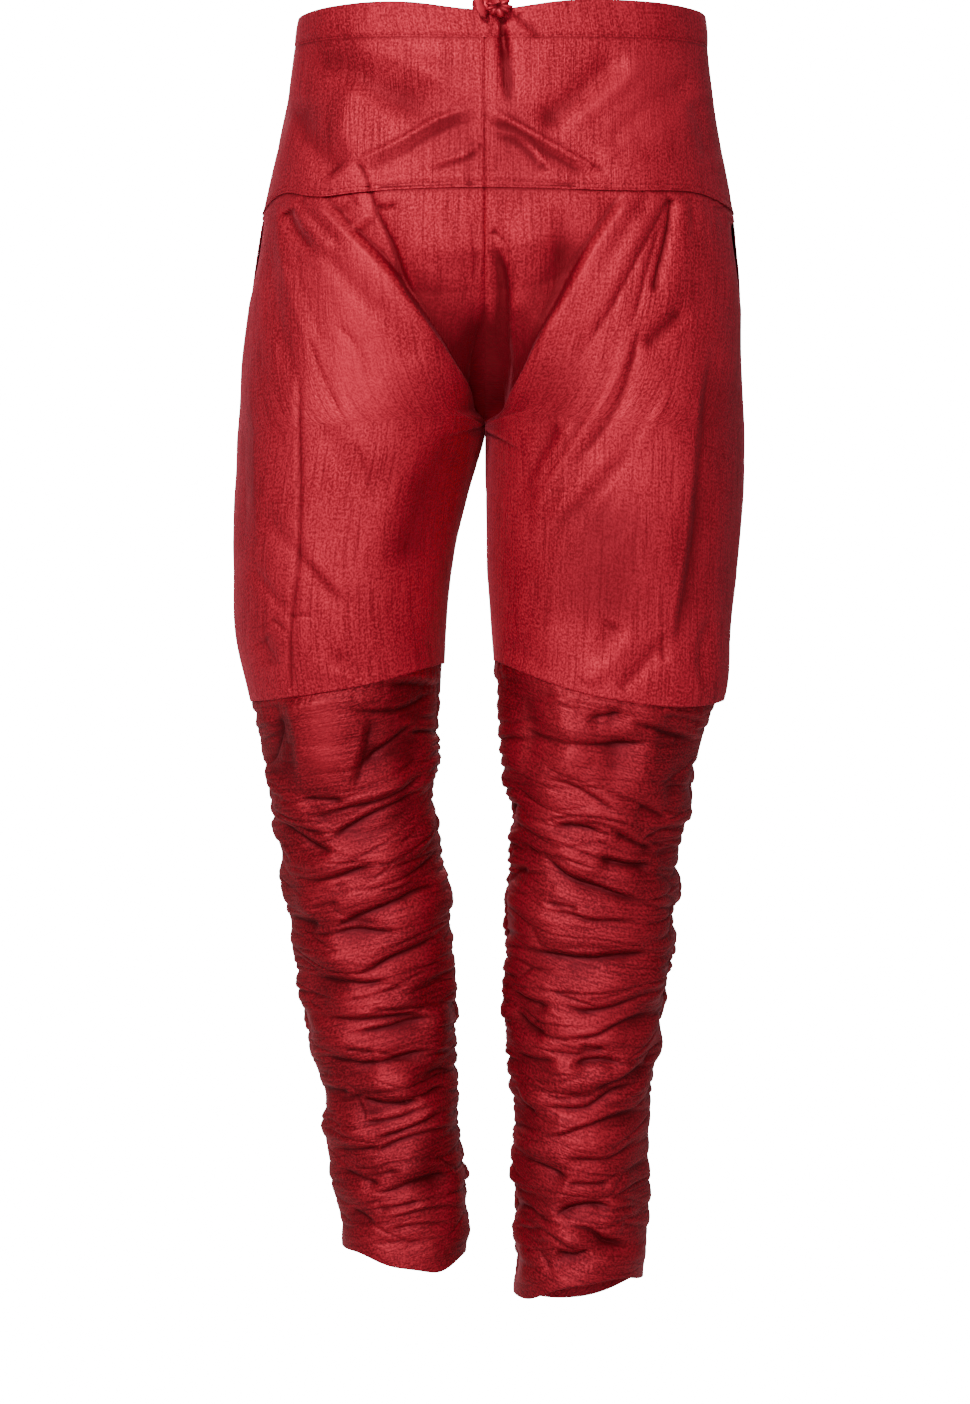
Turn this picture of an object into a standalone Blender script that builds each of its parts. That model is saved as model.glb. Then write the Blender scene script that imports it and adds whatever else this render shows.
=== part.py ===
"""Breeches of slubbed art silk, worn: a drawstring waistband, a hip yoke, full thighs and ruched lower legs.

Metres, +Z up, the front faces -Y and +X is the viewer's right. The origin is the middle of the waist opening,
in the plane of the centre seams and level with the waistband's top edge at the sides.
"""

import math
from collections import namedtuple

import bmesh
import bpy
import numpy as np

WALL = 0.0015
SEAM_GAP = 0.0003
SIGN = {"left": -1.0, "right": 1.0}
# Below 1 the rings are a little squarer than an ellipse.
ROUNDNESS = 0.92

PALE_RED = (0.42, 0.022, 0.032, 1.0)
DEEP_RED = (0.28, 0.010, 0.018, 1.0)
DARK_RED = (0.10, 0.006, 0.010, 1.0)

# Horizontal rings of each half, top to bottom. Outer and inner are distances from the plane of the centre seams,
# closed goes from 0, half of one waist ring, to 1, a leg ring of its own, and front, side and back are Y places.
Ring = namedtuple("Ring", "height outer inner closed front side back")
RINGS = {
    "left": [
        Ring(0.010, 0.142, 0.000, 0.00, -0.108, 0.002, 0.104),
        Ring(-0.020, 0.146, 0.000, 0.00, -0.112, 0.002, 0.110),
        Ring(-0.065, 0.153, 0.000, 0.00, -0.117, 0.003, 0.120),
        Ring(-0.095, 0.158, 0.000, 0.05, -0.119, 0.004, 0.126),
        Ring(-0.144, 0.168, 0.000, 0.20, -0.120, 0.006, 0.133),
        Ring(-0.205, 0.177, 0.000, 0.45, -0.118, 0.008, 0.137),
        Ring(-0.259, 0.184, 0.000, 0.75, -0.113, 0.010, 0.132),
        Ring(-0.309, 0.188, 0.0008, 1.00, -0.108, 0.010, 0.122),
        Ring(-0.350, 0.190, 0.012, 1.00, -0.104, 0.008, 0.111),
        Ring(-0.410, 0.191, 0.026, 1.00, -0.098, 0.004, 0.098),
        Ring(-0.460, 0.189, 0.031, 1.00, -0.090, 0.000, 0.086),
        Ring(-0.505, 0.179, 0.033, 1.00, -0.080, -0.003, 0.076),
        Ring(-0.550, 0.169, 0.035, 1.00, -0.068, 0.000, 0.072),
        Ring(-0.590, 0.166, 0.037, 1.00, -0.060, 0.006, 0.076),
        Ring(-0.640, 0.156, 0.030, 1.00, -0.055, 0.010, 0.080),
        Ring(-0.705, 0.146, 0.023, 1.00, -0.050, 0.013, 0.078),
        Ring(-0.770, 0.135, 0.021, 1.00, -0.044, 0.014, 0.072),
        Ring(-0.830, 0.123, 0.019, 1.00, -0.040, 0.014, 0.066),
        Ring(-0.890, 0.114, 0.014, 1.00, -0.038, 0.014, 0.062),
        Ring(-0.950, 0.108, 0.016, 1.00, -0.040, 0.012, 0.058),
    ],
    "right": [
        Ring(0.010, 0.167, 0.000, 0.00, -0.108, 0.002, 0.104),
        Ring(-0.020, 0.169, 0.000, 0.00, -0.112, 0.002, 0.110),
        Ring(-0.065, 0.174, 0.000, 0.00, -0.117, 0.003, 0.120),
        Ring(-0.095, 0.179, 0.000, 0.05, -0.119, 0.004, 0.126),
        Ring(-0.144, 0.188, 0.000, 0.20, -0.120, 0.006, 0.133),
        Ring(-0.205, 0.195, 0.000, 0.45, -0.118, 0.008, 0.137),
        Ring(-0.259, 0.196, 0.000, 0.75, -0.113, 0.010, 0.132),
        Ring(-0.309, 0.197, 0.0008, 1.00, -0.109, 0.009, 0.121),
        Ring(-0.350, 0.196, 0.0010, 1.00, -0.108, 0.004, 0.107),
        Ring(-0.410, 0.190, 0.003, 1.00, -0.107, -0.004, 0.089),
        Ring(-0.460, 0.184, 0.006, 1.00, -0.104, -0.014, 0.072),
        Ring(-0.505, 0.176, 0.009, 1.00, -0.100, -0.024, 0.056),
        Ring(-0.550, 0.162, 0.012, 1.00, -0.094, -0.028, 0.046),
        Ring(-0.590, 0.156, 0.018, 1.00, -0.090, -0.026, 0.046),
        Ring(-0.640, 0.149, 0.018, 1.00, -0.087, -0.022, 0.050),
        Ring(-0.705, 0.144, 0.014, 1.00, -0.085, -0.020, 0.048),
        Ring(-0.770, 0.134, 0.015, 1.00, -0.084, -0.020, 0.040),
        Ring(-0.830, 0.127, 0.019, 1.00, -0.083, -0.021, 0.031),
        Ring(-0.890, 0.122, 0.022, 1.00, -0.084, -0.022, 0.024),
        Ring(-0.970, 0.118, 0.022, 1.00, -0.090, -0.026, 0.014),
    ],
}

# Heights of the seams and edges that go round a half, at its front, outer side, back and inner side.
Level = namedtuple("Level", "front outer back inner")
WAIST_TOP = {"left": Level(0.003, 0.001, 0.004, 0.003), "right": Level(0.003, 0.004, 0.004, 0.003)}
BAND_FOOT = {"left": Level(-0.027, -0.020, -0.017, -0.027), "right": Level(-0.027, -0.020, -0.017, -0.027)}
YOKE_SEAM = {"left": Level(-0.138, -0.144, -0.136, -0.138), "right": Level(-0.138, -0.144, -0.136, -0.138)}
KNEE_SEAM = {"left": Level(-0.503, -0.512, -0.500, -0.483), "right": Level(-0.510, -0.516, -0.505, -0.481)}
HEM = {"left": Level(-0.940, -0.928, -0.926, -0.932), "right": Level(-0.946, -0.946, -0.968, -0.958)}
# The knot pulls the waistband's top edge down at the centre front.
KNOT_DIP = 0.010
KNOT_DIP_WIDTH = 0.050

# Gathers of the lower legs. Each row is a trough that goes all round, in millimetres below the knee seam at the
# outer seam, centre front, inner seam and centre back, with its depth in millimetres.
Gather = namedtuple("Gather", "outer front inner back depth")
GATHERS = {
    "left": [
        Gather(14, 19, 23, 12, 2.5),
        Gather(30, 38, 40, 33, 4.0),
        Gather(45, 58, 57, 52, 4.0),
        Gather(63, 77, 67, 74, 4.0),
        Gather(79, 95, 78, 88, 5.5),
        Gather(93, 111, 91, 108, 6.5),
        Gather(109, 126, 109, 121, 4.5),
        Gather(125, 142, 130, 141, 4.0),
        Gather(142, 157, 149, 155, 4.0),
        Gather(159, 174, 168, 172, 4.5),
        Gather(176, 189, 186, 190, 5.0),
        Gather(191, 205, 202, 203, 4.0),
        Gather(205, 221, 220, 219, 6.5),
        Gather(220, 235, 239, 236, 4.0),
        Gather(236, 248, 256, 251, 4.0),
        Gather(251, 262, 273, 267, 6.0),
        Gather(266, 279, 292, 283, 6.0),
        Gather(281, 293, 309, 298, 3.5),
        Gather(296, 309, 325, 314, 6.0),
        Gather(312, 325, 339, 329, 5.0),
        Gather(329, 341, 353, 344, 4.0),
        Gather(346, 357, 369, 360, 4.0),
        Gather(363, 373, 386, 377, 5.5),
        Gather(380, 389, 402, 393, 3.5),
        Gather(396, 405, 417, 408, 3.0),
    ],
    "right": [
        Gather(15, 15, 24, 16, 3.0),
        Gather(30, 34, 46, 36, 5.5),
        Gather(47, 52, 64, 56, 4.5),
        Gather(64, 69, 81, 74, 5.0),
        Gather(82, 84, 97, 91, 4.0),
        Gather(98, 98, 111, 106, 6.0),
        Gather(114, 113, 126, 121, 6.5),
        Gather(130, 129, 140, 137, 6.5),
        Gather(146, 145, 156, 153, 6.0),
        Gather(160, 160, 173, 169, 5.0),
        Gather(173, 176, 191, 184, 4.0),
        Gather(186, 193, 209, 200, 5.5),
        Gather(198, 208, 226, 215, 4.0),
        Gather(210, 223, 242, 228, 3.5),
        Gather(222, 238, 257, 242, 5.5),
        Gather(235, 253, 271, 258, 4.0),
        Gather(249, 265, 285, 272, 4.0),
        Gather(264, 279, 300, 287, 5.5),
        Gather(278, 293, 316, 302, 4.0),
        Gather(292, 308, 333, 318, 5.0),
        Gather(308, 325, 349, 335, 4.0),
        Gather(326, 342, 366, 352, 5.0),
        Gather(344, 358, 383, 370, 5.0),
        Gather(362, 373, 400, 387, 4.0),
        Gather(380, 388, 417, 404, 5.0),
        Gather(398, 404, 434, 421, 4.0),
        Gather(414, 420, 451, 440, 3.0),
    ],
}

# Folds and pleats of the upper part, seen from the front or back: three X, Z points along the fold, then how far
# it stands out (negative is a trough) and how wide it is, all in millimetres.
Fold = namedtuple("Fold", "start middle finish rise width")
YOKE_FOLDS = [
    Fold((12, -12), (14, -36), (18, -66), -4.5, 8),
    Fold((-4, -79), (-34, -88), (-95, -119), 4.5, 9),
    Fold((-6, -92), (-40, -104), (-95, -131), -3.5, 9),
    Fold((0, -81), (28, -93), (83, -124), 4.5, 9),
    Fold((4, -94), (34, -108), (80, -136), -3.5, 9),
    Fold((-140, -70), (-134, -95), (-126, -122), -2.5, 8),
]
FRONT_FOLDS = {
    "left": [
        Fold((-128, -142), (-70, -200), (-4, -292), -8.0, 12),
        Fold((-108, -142), (-46, -205), (-8, -268), 5.0, 12),
        Fold((-140, -150), (-84, -215), (-30, -300), 4.0, 12),
        Fold((-76, -146), (-59, -200), (-32, -249), -5.0, 8),
        Fold((-154, -146), (-145, -210), (-107, -313), -5.0, 10),
        Fold((-110, -225), (-90, -260), (-70, -300), -4.0, 9),
        Fold((-137, -320), (-138, -400), (-142, -500), -4.5, 9),
        Fold((-118, -330), (-120, -400), (-123, -490), 4.0, 13),
        Fold((-150, -380), (-110, -430), (-80, -480), 4.0, 15),
        Fold((-110, -360), (-80, -410), (-60, -460), -3.5, 14),
    ],
    "right": [
        Fold((104, -138), (60, -215), (6, -310), -8.0, 12),
        Fold((84, -138), (44, -200), (10, -270), 5.0, 12),
        Fold((120, -140), (78, -230), (30, -310), 4.0, 12),
        Fold((132, -142), (95, -225), (62, -293), -5.0, 9),
        Fold((137, -144), (136, -200), (125, -249), -4.5, 8),
        Fold((154, -142), (152, -190), (148, -235), -3.5, 8),
        Fold((164, -250), (155, -330), (132, -490), -5.5, 9),
        Fold((150, -260), (140, -340), (118, -480), 4.5, 12),
        Fold((118, -310), (70, -370), (28, -420), -4.5, 14),
        Fold((130, -360), (90, -410), (40, -460), 4.0, 14),
    ],
}
BACK_FOLDS = {
    "left": [
        Fold((-110, -296), (-60, -318), (-15, -322), -7.0, 13),
        Fold((-100, -318), (-60, -336), (-20, -338), 4.0, 12),
        Fold((-125, -345), (-70, -355), (-22, -352), -5.0, 12),
        Fold((-40, -146), (-46, -210), (-30, -280), -4.0, 12),
        Fold((-120, -142), (-112, -190), (-90, -250), -4.0, 11),
        Fold((-150, -440), (-100, -462), (-50, -450), -5.0, 12),
        Fold((-140, -400), (-100, -420), (-55, -415), -4.0, 12),
    ],
    "right": [
        Fold((114, -298), (60, -320), (12, -326), -7.0, 13),
        Fold((104, -320), (60, -340), (14, -342), 4.0, 12),
        Fold((130, -350), (70, -362), (16, -356), -5.0, 12),
        Fold((46, -146), (50, -215), (28, -285), -4.0, 12),
        Fold((126, -142), (120, -195), (96, -255), -4.0, 11),
        Fold((150, -436), (100, -460), (40, -452), -5.0, 12),
        Fold((140, -396), (96, -418), (36, -410), -4.0, 12),
    ],
}

# Open side-seam pockets: from and to these heights the front edge dips in by this much.
Pocket = namedtuple("Pocket", "top foot dip")
POCKETS = {"left": Pocket(-0.148, -0.212, 0.0035), "right": Pocket(-0.150, -0.216, 0.0055)}
POCKET_SPREAD = math.radians(14)
FACING_WALL = 0.0012
FACING_GAP = 0.0007
FACING_ROWS = 4
# Folds die out towards the seams, and the thigh stands out a little just above the gathered knee seam.
SEAM_FADE = 0.010
KNEE_PUFF = 0.003
PUFF_ABOVE_SEAM = 0.012
PUFF_WIDTH = 0.010
# The share of its own length by which a fold runs on past its ends as it dies out.
FOLD_END = 0.04
# Front and back folds fade out where the panel turns from the front to the side.
SIDE_FADE = 0.25
# Gathers are this much shallower at the side seams.
GATHER_SEAM_SHARE = 0.4

CROTCH_HEIGHT = -0.309
# A panel's heights depend on its turns, and its turns on its heights, so both are worked out in steps.
TURN_STEPS = 12
HALF_COLUMNS = {"front": 16, "back": 8}
BAND_ROWS = 2
YOKE_ROWS = {"front": 7, "back": 5}
# The rows of the thigh lie closer together at the crotch and over the knee seam.
THIGH_ROWS = {
    "front": (0, 0.06, 0.13, 0.21, 0.29, 0.37, 0.44, 0.48, 0.497, 0.53, 0.58, 0.65, 0.72, 0.79, 0.86, 0.92, 0.97, 1),
    "back": (0, 0.06, 0.13, 0.21, 0.31, 0.40, 0.46, 0.485, 0.50, 0.53, 0.58, 0.66, 0.75, 0.84, 0.91, 0.97, 1),
}
LEG_COLUMNS = 8

# The tie is knotted over the waistband's top edge. One end arches over and down in front, and the other goes
# over the edge and hangs inside.
KNOT_MIDDLE = (0.009, -0.1152, -0.006)
KNOT_RADII = (0.0058, 0.0046, 0.0052)
TIE_RADIUS = 0.002
TIE_ENDS = {
    "drawstring_end_front": [
        (0.0030, -0.1170, -0.0020),
        (0.0010, -0.1180, 0.0050),
        (-0.0025, -0.1180, 0.0085),
        (-0.0065, -0.1175, 0.0070),
        (-0.0088, -0.1165, 0.0010),
        (-0.0085, -0.1155, -0.0055),
        (-0.0062, -0.1150, -0.0115),
        (-0.0030, -0.1150, -0.0175),
    ],
    "drawstring_end_inside": [
        (0.0018, -0.1130, -0.0045),
        (-0.0022, -0.1130, -0.0010),
        (-0.0045, -0.1115, 0.0005),
        (-0.0060, -0.1080, -0.0002),
        (-0.0066, -0.1060, -0.0050),
        (-0.0068, -0.1060, -0.0140),
        (-0.0066, -0.1065, -0.0240),
    ],
}
TIE_POINTS = 14


def smooth_through(places, values, at):
    """A smooth curve through values at rising places, read at the places in at."""
    slopes = np.gradient(values, places, axis=0)
    at = np.clip(at, places[0], places[-1])
    index = np.clip(np.searchsorted(places, at) - 1, 0, len(places) - 2)
    span = places[index + 1] - places[index]
    t = (at - places[index]) / span
    if values.ndim > 1:
        span = span[:, None]
        t = t[:, None]
    start = values[index] * (1 + 2 * t) * (1 - t) ** 2 + slopes[index] * span * t * (1 - t) ** 2
    finish = values[index + 1] * t * t * (3 - 2 * t) + slopes[index + 1] * span * t * t * (t - 1)
    return start + finish


def column(rings, name, height):
    """One column of a ring table at the given heights."""
    heights = np.array([ring.height for ring in rings])[::-1]
    values = np.array([getattr(ring, name) for ring in rings])[::-1]
    return smooth_through(heights, values, height)


def closing(side, height):
    """How far round from the centre front the half begins at this height: 0 above, a quarter turn in a leg."""
    closed = np.clip(column(RINGS[side], "closed", height), 0.0, 1.0)
    return np.arcsin(closed ** (1 / ROUNDNESS))


def around(level, turn):
    """A level's height at a turn, where 0 is the front, a quarter turn the outer side and a half turn the back."""
    middle = np.where(np.cos(turn) >= 0, level.front, level.back)
    slope = (level.outer - level.inner) / 2
    mean = (level.outer + level.inner) / 2
    return middle + slope * np.sin(turn) + (mean - middle) * np.sin(turn) ** 2


def ring_points(side, turn, height):
    """Points of a half's ring, with X counted outwards, and their level outward directions."""
    rings = RINGS[side]
    closed = np.clip(column(rings, "closed", height), 0.0, 1.0)
    outer = column(rings, "outer", height)
    half = (outer - column(rings, "inner", height)) / (1 + closed)
    side_y = column(rings, "side", height)
    end_y = np.where(np.cos(turn) >= 0, column(rings, "front", height), column(rings, "back", height))
    sine = np.sin(turn)
    cosine = np.cos(turn)
    x = outer - half + half * np.sign(sine) * np.abs(sine) ** ROUNDNESS
    y = side_y + (end_y - side_y) * np.abs(cosine) ** ROUNDNESS
    outward = np.stack([sine / half, -cosine / np.abs(end_y - side_y), np.zeros_like(half)], axis=-1)
    outward /= np.linalg.norm(outward, axis=-1, keepdims=True)
    return np.stack([x, y, height], axis=-1), outward


def from_folds(folds, points):
    """How far the folds move points of the cloth out, by their distance from each fold seen from the front."""
    spots = points[..., [0, 2]] * 1000
    rise = np.zeros(points.shape[:-1])
    for fold in folds:
        route = np.array([fold.start, fold.middle, fold.finish], float)
        nearest = np.full(rise.shape, np.inf)
        share = np.zeros(rise.shape)
        for index in range(2):
            step = route[index + 1] - route[index]
            t = np.clip((spots - route[index]) @ step / (step @ step), 0, 1)
            away = np.linalg.norm(spots - route[index] - t[..., None] * step, axis=-1)
            share = np.where(away < nearest, (index + t) / 2, share)
            nearest = np.minimum(nearest, away)
        fade = np.sqrt(np.clip(4 * (share + FOLD_END) * (1 + FOLD_END - share), 0, 1))
        rise += fold.rise / 1000 * fade * np.exp(-((nearest / fold.width) ** 2))
    return rise


def pocket_dip(side, turn, height):
    """How far the front panel's edge lies inside the back's along an open pocket."""
    pocket = POCKETS[side]
    t = np.clip((pocket.top - height) / (pocket.top - pocket.foot), 0, 1)
    mouth = pocket.dip * np.sin(math.pi * np.sqrt(t))
    return mouth * np.exp(-(((math.pi / 2 - turn) / POCKET_SPREAD) ** 2))


def wall(name, outer, outward, thickness=WALL):
    """A closed wall of cloth: outer is a grid of points, and outward the directions away from the inside."""
    inner = outer - thickness * outward
    rows, columns = outer.shape[:2]
    mesh = bpy.data.meshes.new(name)
    made = bmesh.new()
    skin = [[[made.verts.new(tuple(point)) for point in row] for row in grid] for grid in (outer, inner)]
    for layer, grid in enumerate(skin):
        for i in range(rows - 1):
            for j in range(columns - 1):
                corners = [grid[i][j], grid[i + 1][j], grid[i + 1][j + 1], grid[i][j + 1]]
                made.faces.new(corners if layer == 0 else corners[::-1])
    border = [(0, j) for j in range(columns)]
    border += [(i, columns - 1) for i in range(1, rows)]
    border += [(rows - 1, j) for j in range(columns - 2, -1, -1)]
    border += [(i, 0) for i in range(rows - 2, 0, -1)]
    for (i, j), (k, m) in zip(border, border[1:] + border[:1]):
        made.faces.new([skin[0][i][j], skin[0][k][m], skin[1][k][m], skin[1][i][j]])
    bmesh.ops.recalc_face_normals(made, faces=made.faces)
    made.to_mesh(mesh)
    made.free()
    mesh.shade_smooth()
    return bpy.data.objects.new(name, mesh)


def panel_turns(side, face, height, share):
    """Turns of a panel's columns: share is 0 at the inner edge of a front or at the outer edge of a back."""
    start = closing(side, height)
    if face == "front":
        return -start + share * (start + math.pi / 2)
    return math.pi / 2 + share * (start + math.pi / 2)


def onto_chords(grid):
    """Moves every second point of the last row onto the straight line between its neighbours."""
    grid[-1, 1:-1:2] = (grid[-1, :-2:2] + grid[-1, 2::2]) / 2


def panel_grid(side, face, heights_at, columns, relief, coarse_foot=False):
    """A panel's outer points and outward directions, from its rows' heights at a turn and how far it stands out."""
    share = np.linspace(0, 1, columns + 1)[None, :]
    turn = panel_turns(side, face, np.full((1, columns + 1), CROTCH_HEIGHT), share)
    for _ in range(TURN_STEPS):
        height = heights_at(turn)
        turn = panel_turns(side, face, height, share)
    points, outward = ring_points(side, turn, height)
    points = points + relief(side, face, turn, points)[..., None] * outward
    inwards = points - WALL * outward
    forward = -1 if face == "front" else 1
    for layer in (points, inwards):
        layer[:, 0, 1] += forward * SEAM_GAP / 2
        layer[:, -1, 1] += forward * SEAM_GAP / 2
        layer[..., 0] = np.maximum(layer[..., 0], SEAM_GAP / 2)
        layer[..., 0] *= SIGN[side]
        if coarse_foot:
            onto_chords(layer)
    return points, (points - inwards) / WALL


def mirrored_folds(folds, side, points):
    """Folds are measured in the object's own X, and the points here count X outwards."""
    placed = points.copy()
    placed[..., 0] *= SIGN[side]
    return from_folds(folds, placed)


def yoke_relief(side, face, _turn, points):
    return mirrored_folds(YOKE_FOLDS, side, points) if face == "front" else np.zeros(points.shape[:-1])


def thigh_relief(side, face, turn, points):
    height = points[..., 2]
    folds = mirrored_folds((FRONT_FOLDS if face == "front" else BACK_FOLDS)[side], side, points)
    towards = np.clip(np.abs(np.cos(turn)) / SIDE_FADE, 0, 1)
    over_knee = height - around(KNEE_SEAM[side], turn)
    from_knee = np.clip(over_knee / SEAM_FADE, 0, 1)
    from_yoke = np.clip((around(YOKE_SEAM[side], turn) - height) / SEAM_FADE, 0, 1)
    folds = folds * towards * from_knee * from_yoke
    dip = pocket_dip(side, turn, height) if face == "front" else 0.0
    puff = KNEE_PUFF * np.exp(-(((over_knee - PUFF_ABOVE_SEAM) / PUFF_WIDTH) ** 2))
    return folds + puff * from_knee - dip


def make_band(face):
    """The waistband's front or back: one strip over both halves."""
    grids = []
    for side in ("left", "right"):
        share = np.linspace(0, 1, HALF_COLUMNS[face] + 1)
        turn = share * math.pi / 2 if face == "front" else math.pi - share * math.pi / 2
        turn = np.repeat(turn[None, :], BAND_ROWS + 1, axis=0)
        drop = np.linspace(0, 1, BAND_ROWS + 1)[:, None]
        foot = around(BAND_FOOT[side], turn) + SEAM_GAP / 2
        top = around(WAIST_TOP[side], turn)
        across, _ = ring_points(side, turn, top)
        if face == "front":
            top = top - KNOT_DIP * np.exp(-((across[..., 0] / KNOT_DIP_WIDTH) ** 2))
        height = top + (foot - top) * drop
        points, outward = ring_points(side, turn, height)
        points = points + yoke_relief(side, face, turn, points)[..., None] * outward
        points[:, -1, 1] += (-1 if face == "front" else 1) * SEAM_GAP / 2
        for grid in (points, outward):
            grid[..., 0] *= SIGN[side]
        grids.append((points, outward))
    (left, left_out), (right, right_out) = grids
    middle_out = (left_out[:, :1] + right_out[:, :1]) / 2
    outer = np.concatenate([left[:, :0:-1], (left[:, :1] + right[:, :1]) / 2, right[:, 1:]], axis=1)
    outward = np.concatenate([left_out[:, :0:-1], middle_out, right_out[:, 1:]], axis=1)
    return wall("waistband_" + face, outer, outward)


def make_yoke(side, face):
    drop = np.linspace(0, 1, YOKE_ROWS[face] + 1)[:, None]

    def heights(turn):
        top = around(BAND_FOOT[side], turn) - SEAM_GAP / 2
        foot = around(YOKE_SEAM[side], turn) + SEAM_GAP / 2
        return top + (foot - top) * drop

    return wall("yoke_" + face + "_" + side, *panel_grid(side, face, heights, HALF_COLUMNS[face], yoke_relief))


def thigh_grid(side, face):
    drop = np.array(THIGH_ROWS[face])[:, None]

    def heights(turn):
        top = around(YOKE_SEAM[side], turn) - SEAM_GAP / 2
        foot = around(KNEE_SEAM[side], turn) + SEAM_GAP / 2
        return top + (foot - top) * drop

    coarse_foot = HALF_COLUMNS[face] > LEG_COLUMNS
    return panel_grid(side, face, heights, HALF_COLUMNS[face], thigh_relief, coarse_foot)


def make_thigh(side, face):
    return wall("thigh_" + face + "_" + side, *thigh_grid(side, face))


def make_facing(side):
    """The strip that backs an open pocket, made from the points of the panels on each side of it, moved in."""
    front, front_out = thigh_grid(side, "front")
    back, back_out = thigh_grid(side, "back")
    points = np.concatenate([front[:FACING_ROWS, -2:], back[:FACING_ROWS, 1:2]], axis=1)
    outward = np.concatenate([front_out[:FACING_ROWS, -2:], back_out[:FACING_ROWS, 1:2]], axis=1)
    return wall("pocket_facing_" + side, points - (WALL + FACING_GAP) * outward, outward, FACING_WALL)


def gather_level(side, gather):
    knee = KNEE_SEAM[side]
    return Level(
        knee.front - gather.front / 1000,
        knee.outer - gather.outer / 1000,
        knee.back - gather.back / 1000,
        knee.inner - gather.inner / 1000,
    )


def make_lower_leg(side, face):
    """A ruched panel: its rows run along the troughs and the crests between them."""
    troughs = [gather_level(side, gather) for gather in GATHERS[side]]
    depths = [gather.depth / 1000 for gather in GATHERS[side]]

    def heights(turns):
        turn = turns[:1]
        rows = [around(KNEE_SEAM[side], turn) - SEAM_GAP / 2]
        for trough in troughs:
            height = around(trough, turn)
            rows.append((rows[-1] + height) / 2)
            rows.append(height)
        foot = around(HEM[side], turn)
        rows.append((rows[-1] + foot) / 2)
        rows.append(foot)
        return np.concatenate(rows, axis=0)

    waves = [0.0]
    for index, depth in enumerate(depths):
        above = depths[max(index - 1, 0)]
        waves.append((above + depth) / 4)
        waves.append(-depth / 2)
    waves += [depths[-1] / 4, 0.0]
    waves = np.array(waves)[:, None]

    def relief(_side, _face, turn, _points):
        return waves * (1 - GATHER_SEAM_SHARE * np.sin(turn) ** 4)

    return wall("lower_leg_" + face + "_" + side, *panel_grid(side, face, heights, LEG_COLUMNS, relief))


def make_knot():
    mesh = bpy.data.meshes.new("drawstring_knot")
    made = bmesh.new()
    bmesh.ops.create_uvsphere(made, u_segments=12, v_segments=8, radius=1.0)
    bmesh.ops.scale(made, vec=KNOT_RADII, verts=made.verts)
    made.to_mesh(mesh)
    made.free()
    mesh.shade_smooth()
    knot = bpy.data.objects.new("drawstring_knot", mesh)
    knot.location = KNOT_MIDDLE
    return knot


def make_tie_end(name, route):
    """A free end of the tie, on a smooth curve through its route."""
    route = np.array(route)
    lengths = np.concatenate([[0], np.cumsum(np.linalg.norm(np.diff(route, axis=0), axis=1))])
    points = smooth_through(lengths, route, np.linspace(0, lengths[-1], TIE_POINTS))
    curve = bpy.data.curves.new(name, "CURVE")
    curve.dimensions = "3D"
    curve.bevel_depth = TIE_RADIUS
    curve.bevel_resolution = 2
    curve.use_fill_caps = True
    spline = curve.splines.new("POLY")
    spline.points.add(TIE_POINTS - 1)
    for point, place in zip(spline.points, points):
        point.co = (*place, 1.0)
    return bpy.data.objects.new(name, curve)


def add(thing, colour, roughness, group):
    material = bpy.data.materials.new(thing.name)
    material.use_nodes = True
    shader = material.node_tree.nodes["Principled BSDF"]
    shader.inputs["Base Color"].default_value = colour
    shader.inputs["Roughness"].default_value = roughness
    shader.inputs["Metallic"].default_value = 0.0
    thing.data.materials.append(material)
    group.objects.link(thing)
    return thing


def main():
    for thing in list(bpy.data.objects):
        bpy.data.objects.remove(thing, do_unlink=True)
    group = bpy.data.collections.new("Breeches")
    bpy.context.scene.collection.children.link(group)
    for face in ("front", "back"):
        add(make_band(face), PALE_RED, 0.45, group)
    for side in ("left", "right"):
        for face in ("front", "back"):
            add(make_yoke(side, face), PALE_RED, 0.45, group)
            add(make_thigh(side, face), PALE_RED, 0.45, group)
            add(make_lower_leg(side, face), DEEP_RED, 0.4, group)
        add(make_facing(side), DARK_RED, 0.6, group)
    add(make_knot(), PALE_RED, 0.45, group)
    for name, route in TIE_ENDS.items():
        add(make_tie_end(name, route), PALE_RED, 0.45, group)


main()
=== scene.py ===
"""Breeches of slubbed art silk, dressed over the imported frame: cloth panels with their folds, gathers, seams,
stitches and tie. Metres, +Z up, the front faces -Y and +X is the viewer's right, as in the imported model."""

import functools
import itertools
import math
import random
from collections import namedtuple

import bpy
import numpy as np
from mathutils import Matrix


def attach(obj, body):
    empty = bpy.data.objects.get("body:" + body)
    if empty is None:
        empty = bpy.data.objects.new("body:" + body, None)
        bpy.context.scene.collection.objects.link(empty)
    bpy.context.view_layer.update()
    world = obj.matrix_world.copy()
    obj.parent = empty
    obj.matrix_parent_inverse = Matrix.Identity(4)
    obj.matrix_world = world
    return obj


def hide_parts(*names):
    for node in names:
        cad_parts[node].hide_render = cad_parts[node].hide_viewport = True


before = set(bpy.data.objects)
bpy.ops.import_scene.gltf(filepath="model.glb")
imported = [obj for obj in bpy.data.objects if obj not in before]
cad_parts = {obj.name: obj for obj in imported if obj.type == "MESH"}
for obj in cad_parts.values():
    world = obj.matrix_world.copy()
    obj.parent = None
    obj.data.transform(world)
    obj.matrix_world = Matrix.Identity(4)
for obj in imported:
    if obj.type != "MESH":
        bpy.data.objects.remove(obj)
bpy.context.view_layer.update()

# The camera stands level, square to the breeches, and the picture is 970 by 1404 points.
CAMERA = (0.0, -3.2, -0.5145)
PICTURE_MIDDLE = (485.0, 702.0)
PICTURE_HEIGHT = 1404
METRES_A_POINT = 0.00076
SENSOR = 36.0
FLOOR_HEIGHT = -1.045

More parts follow.
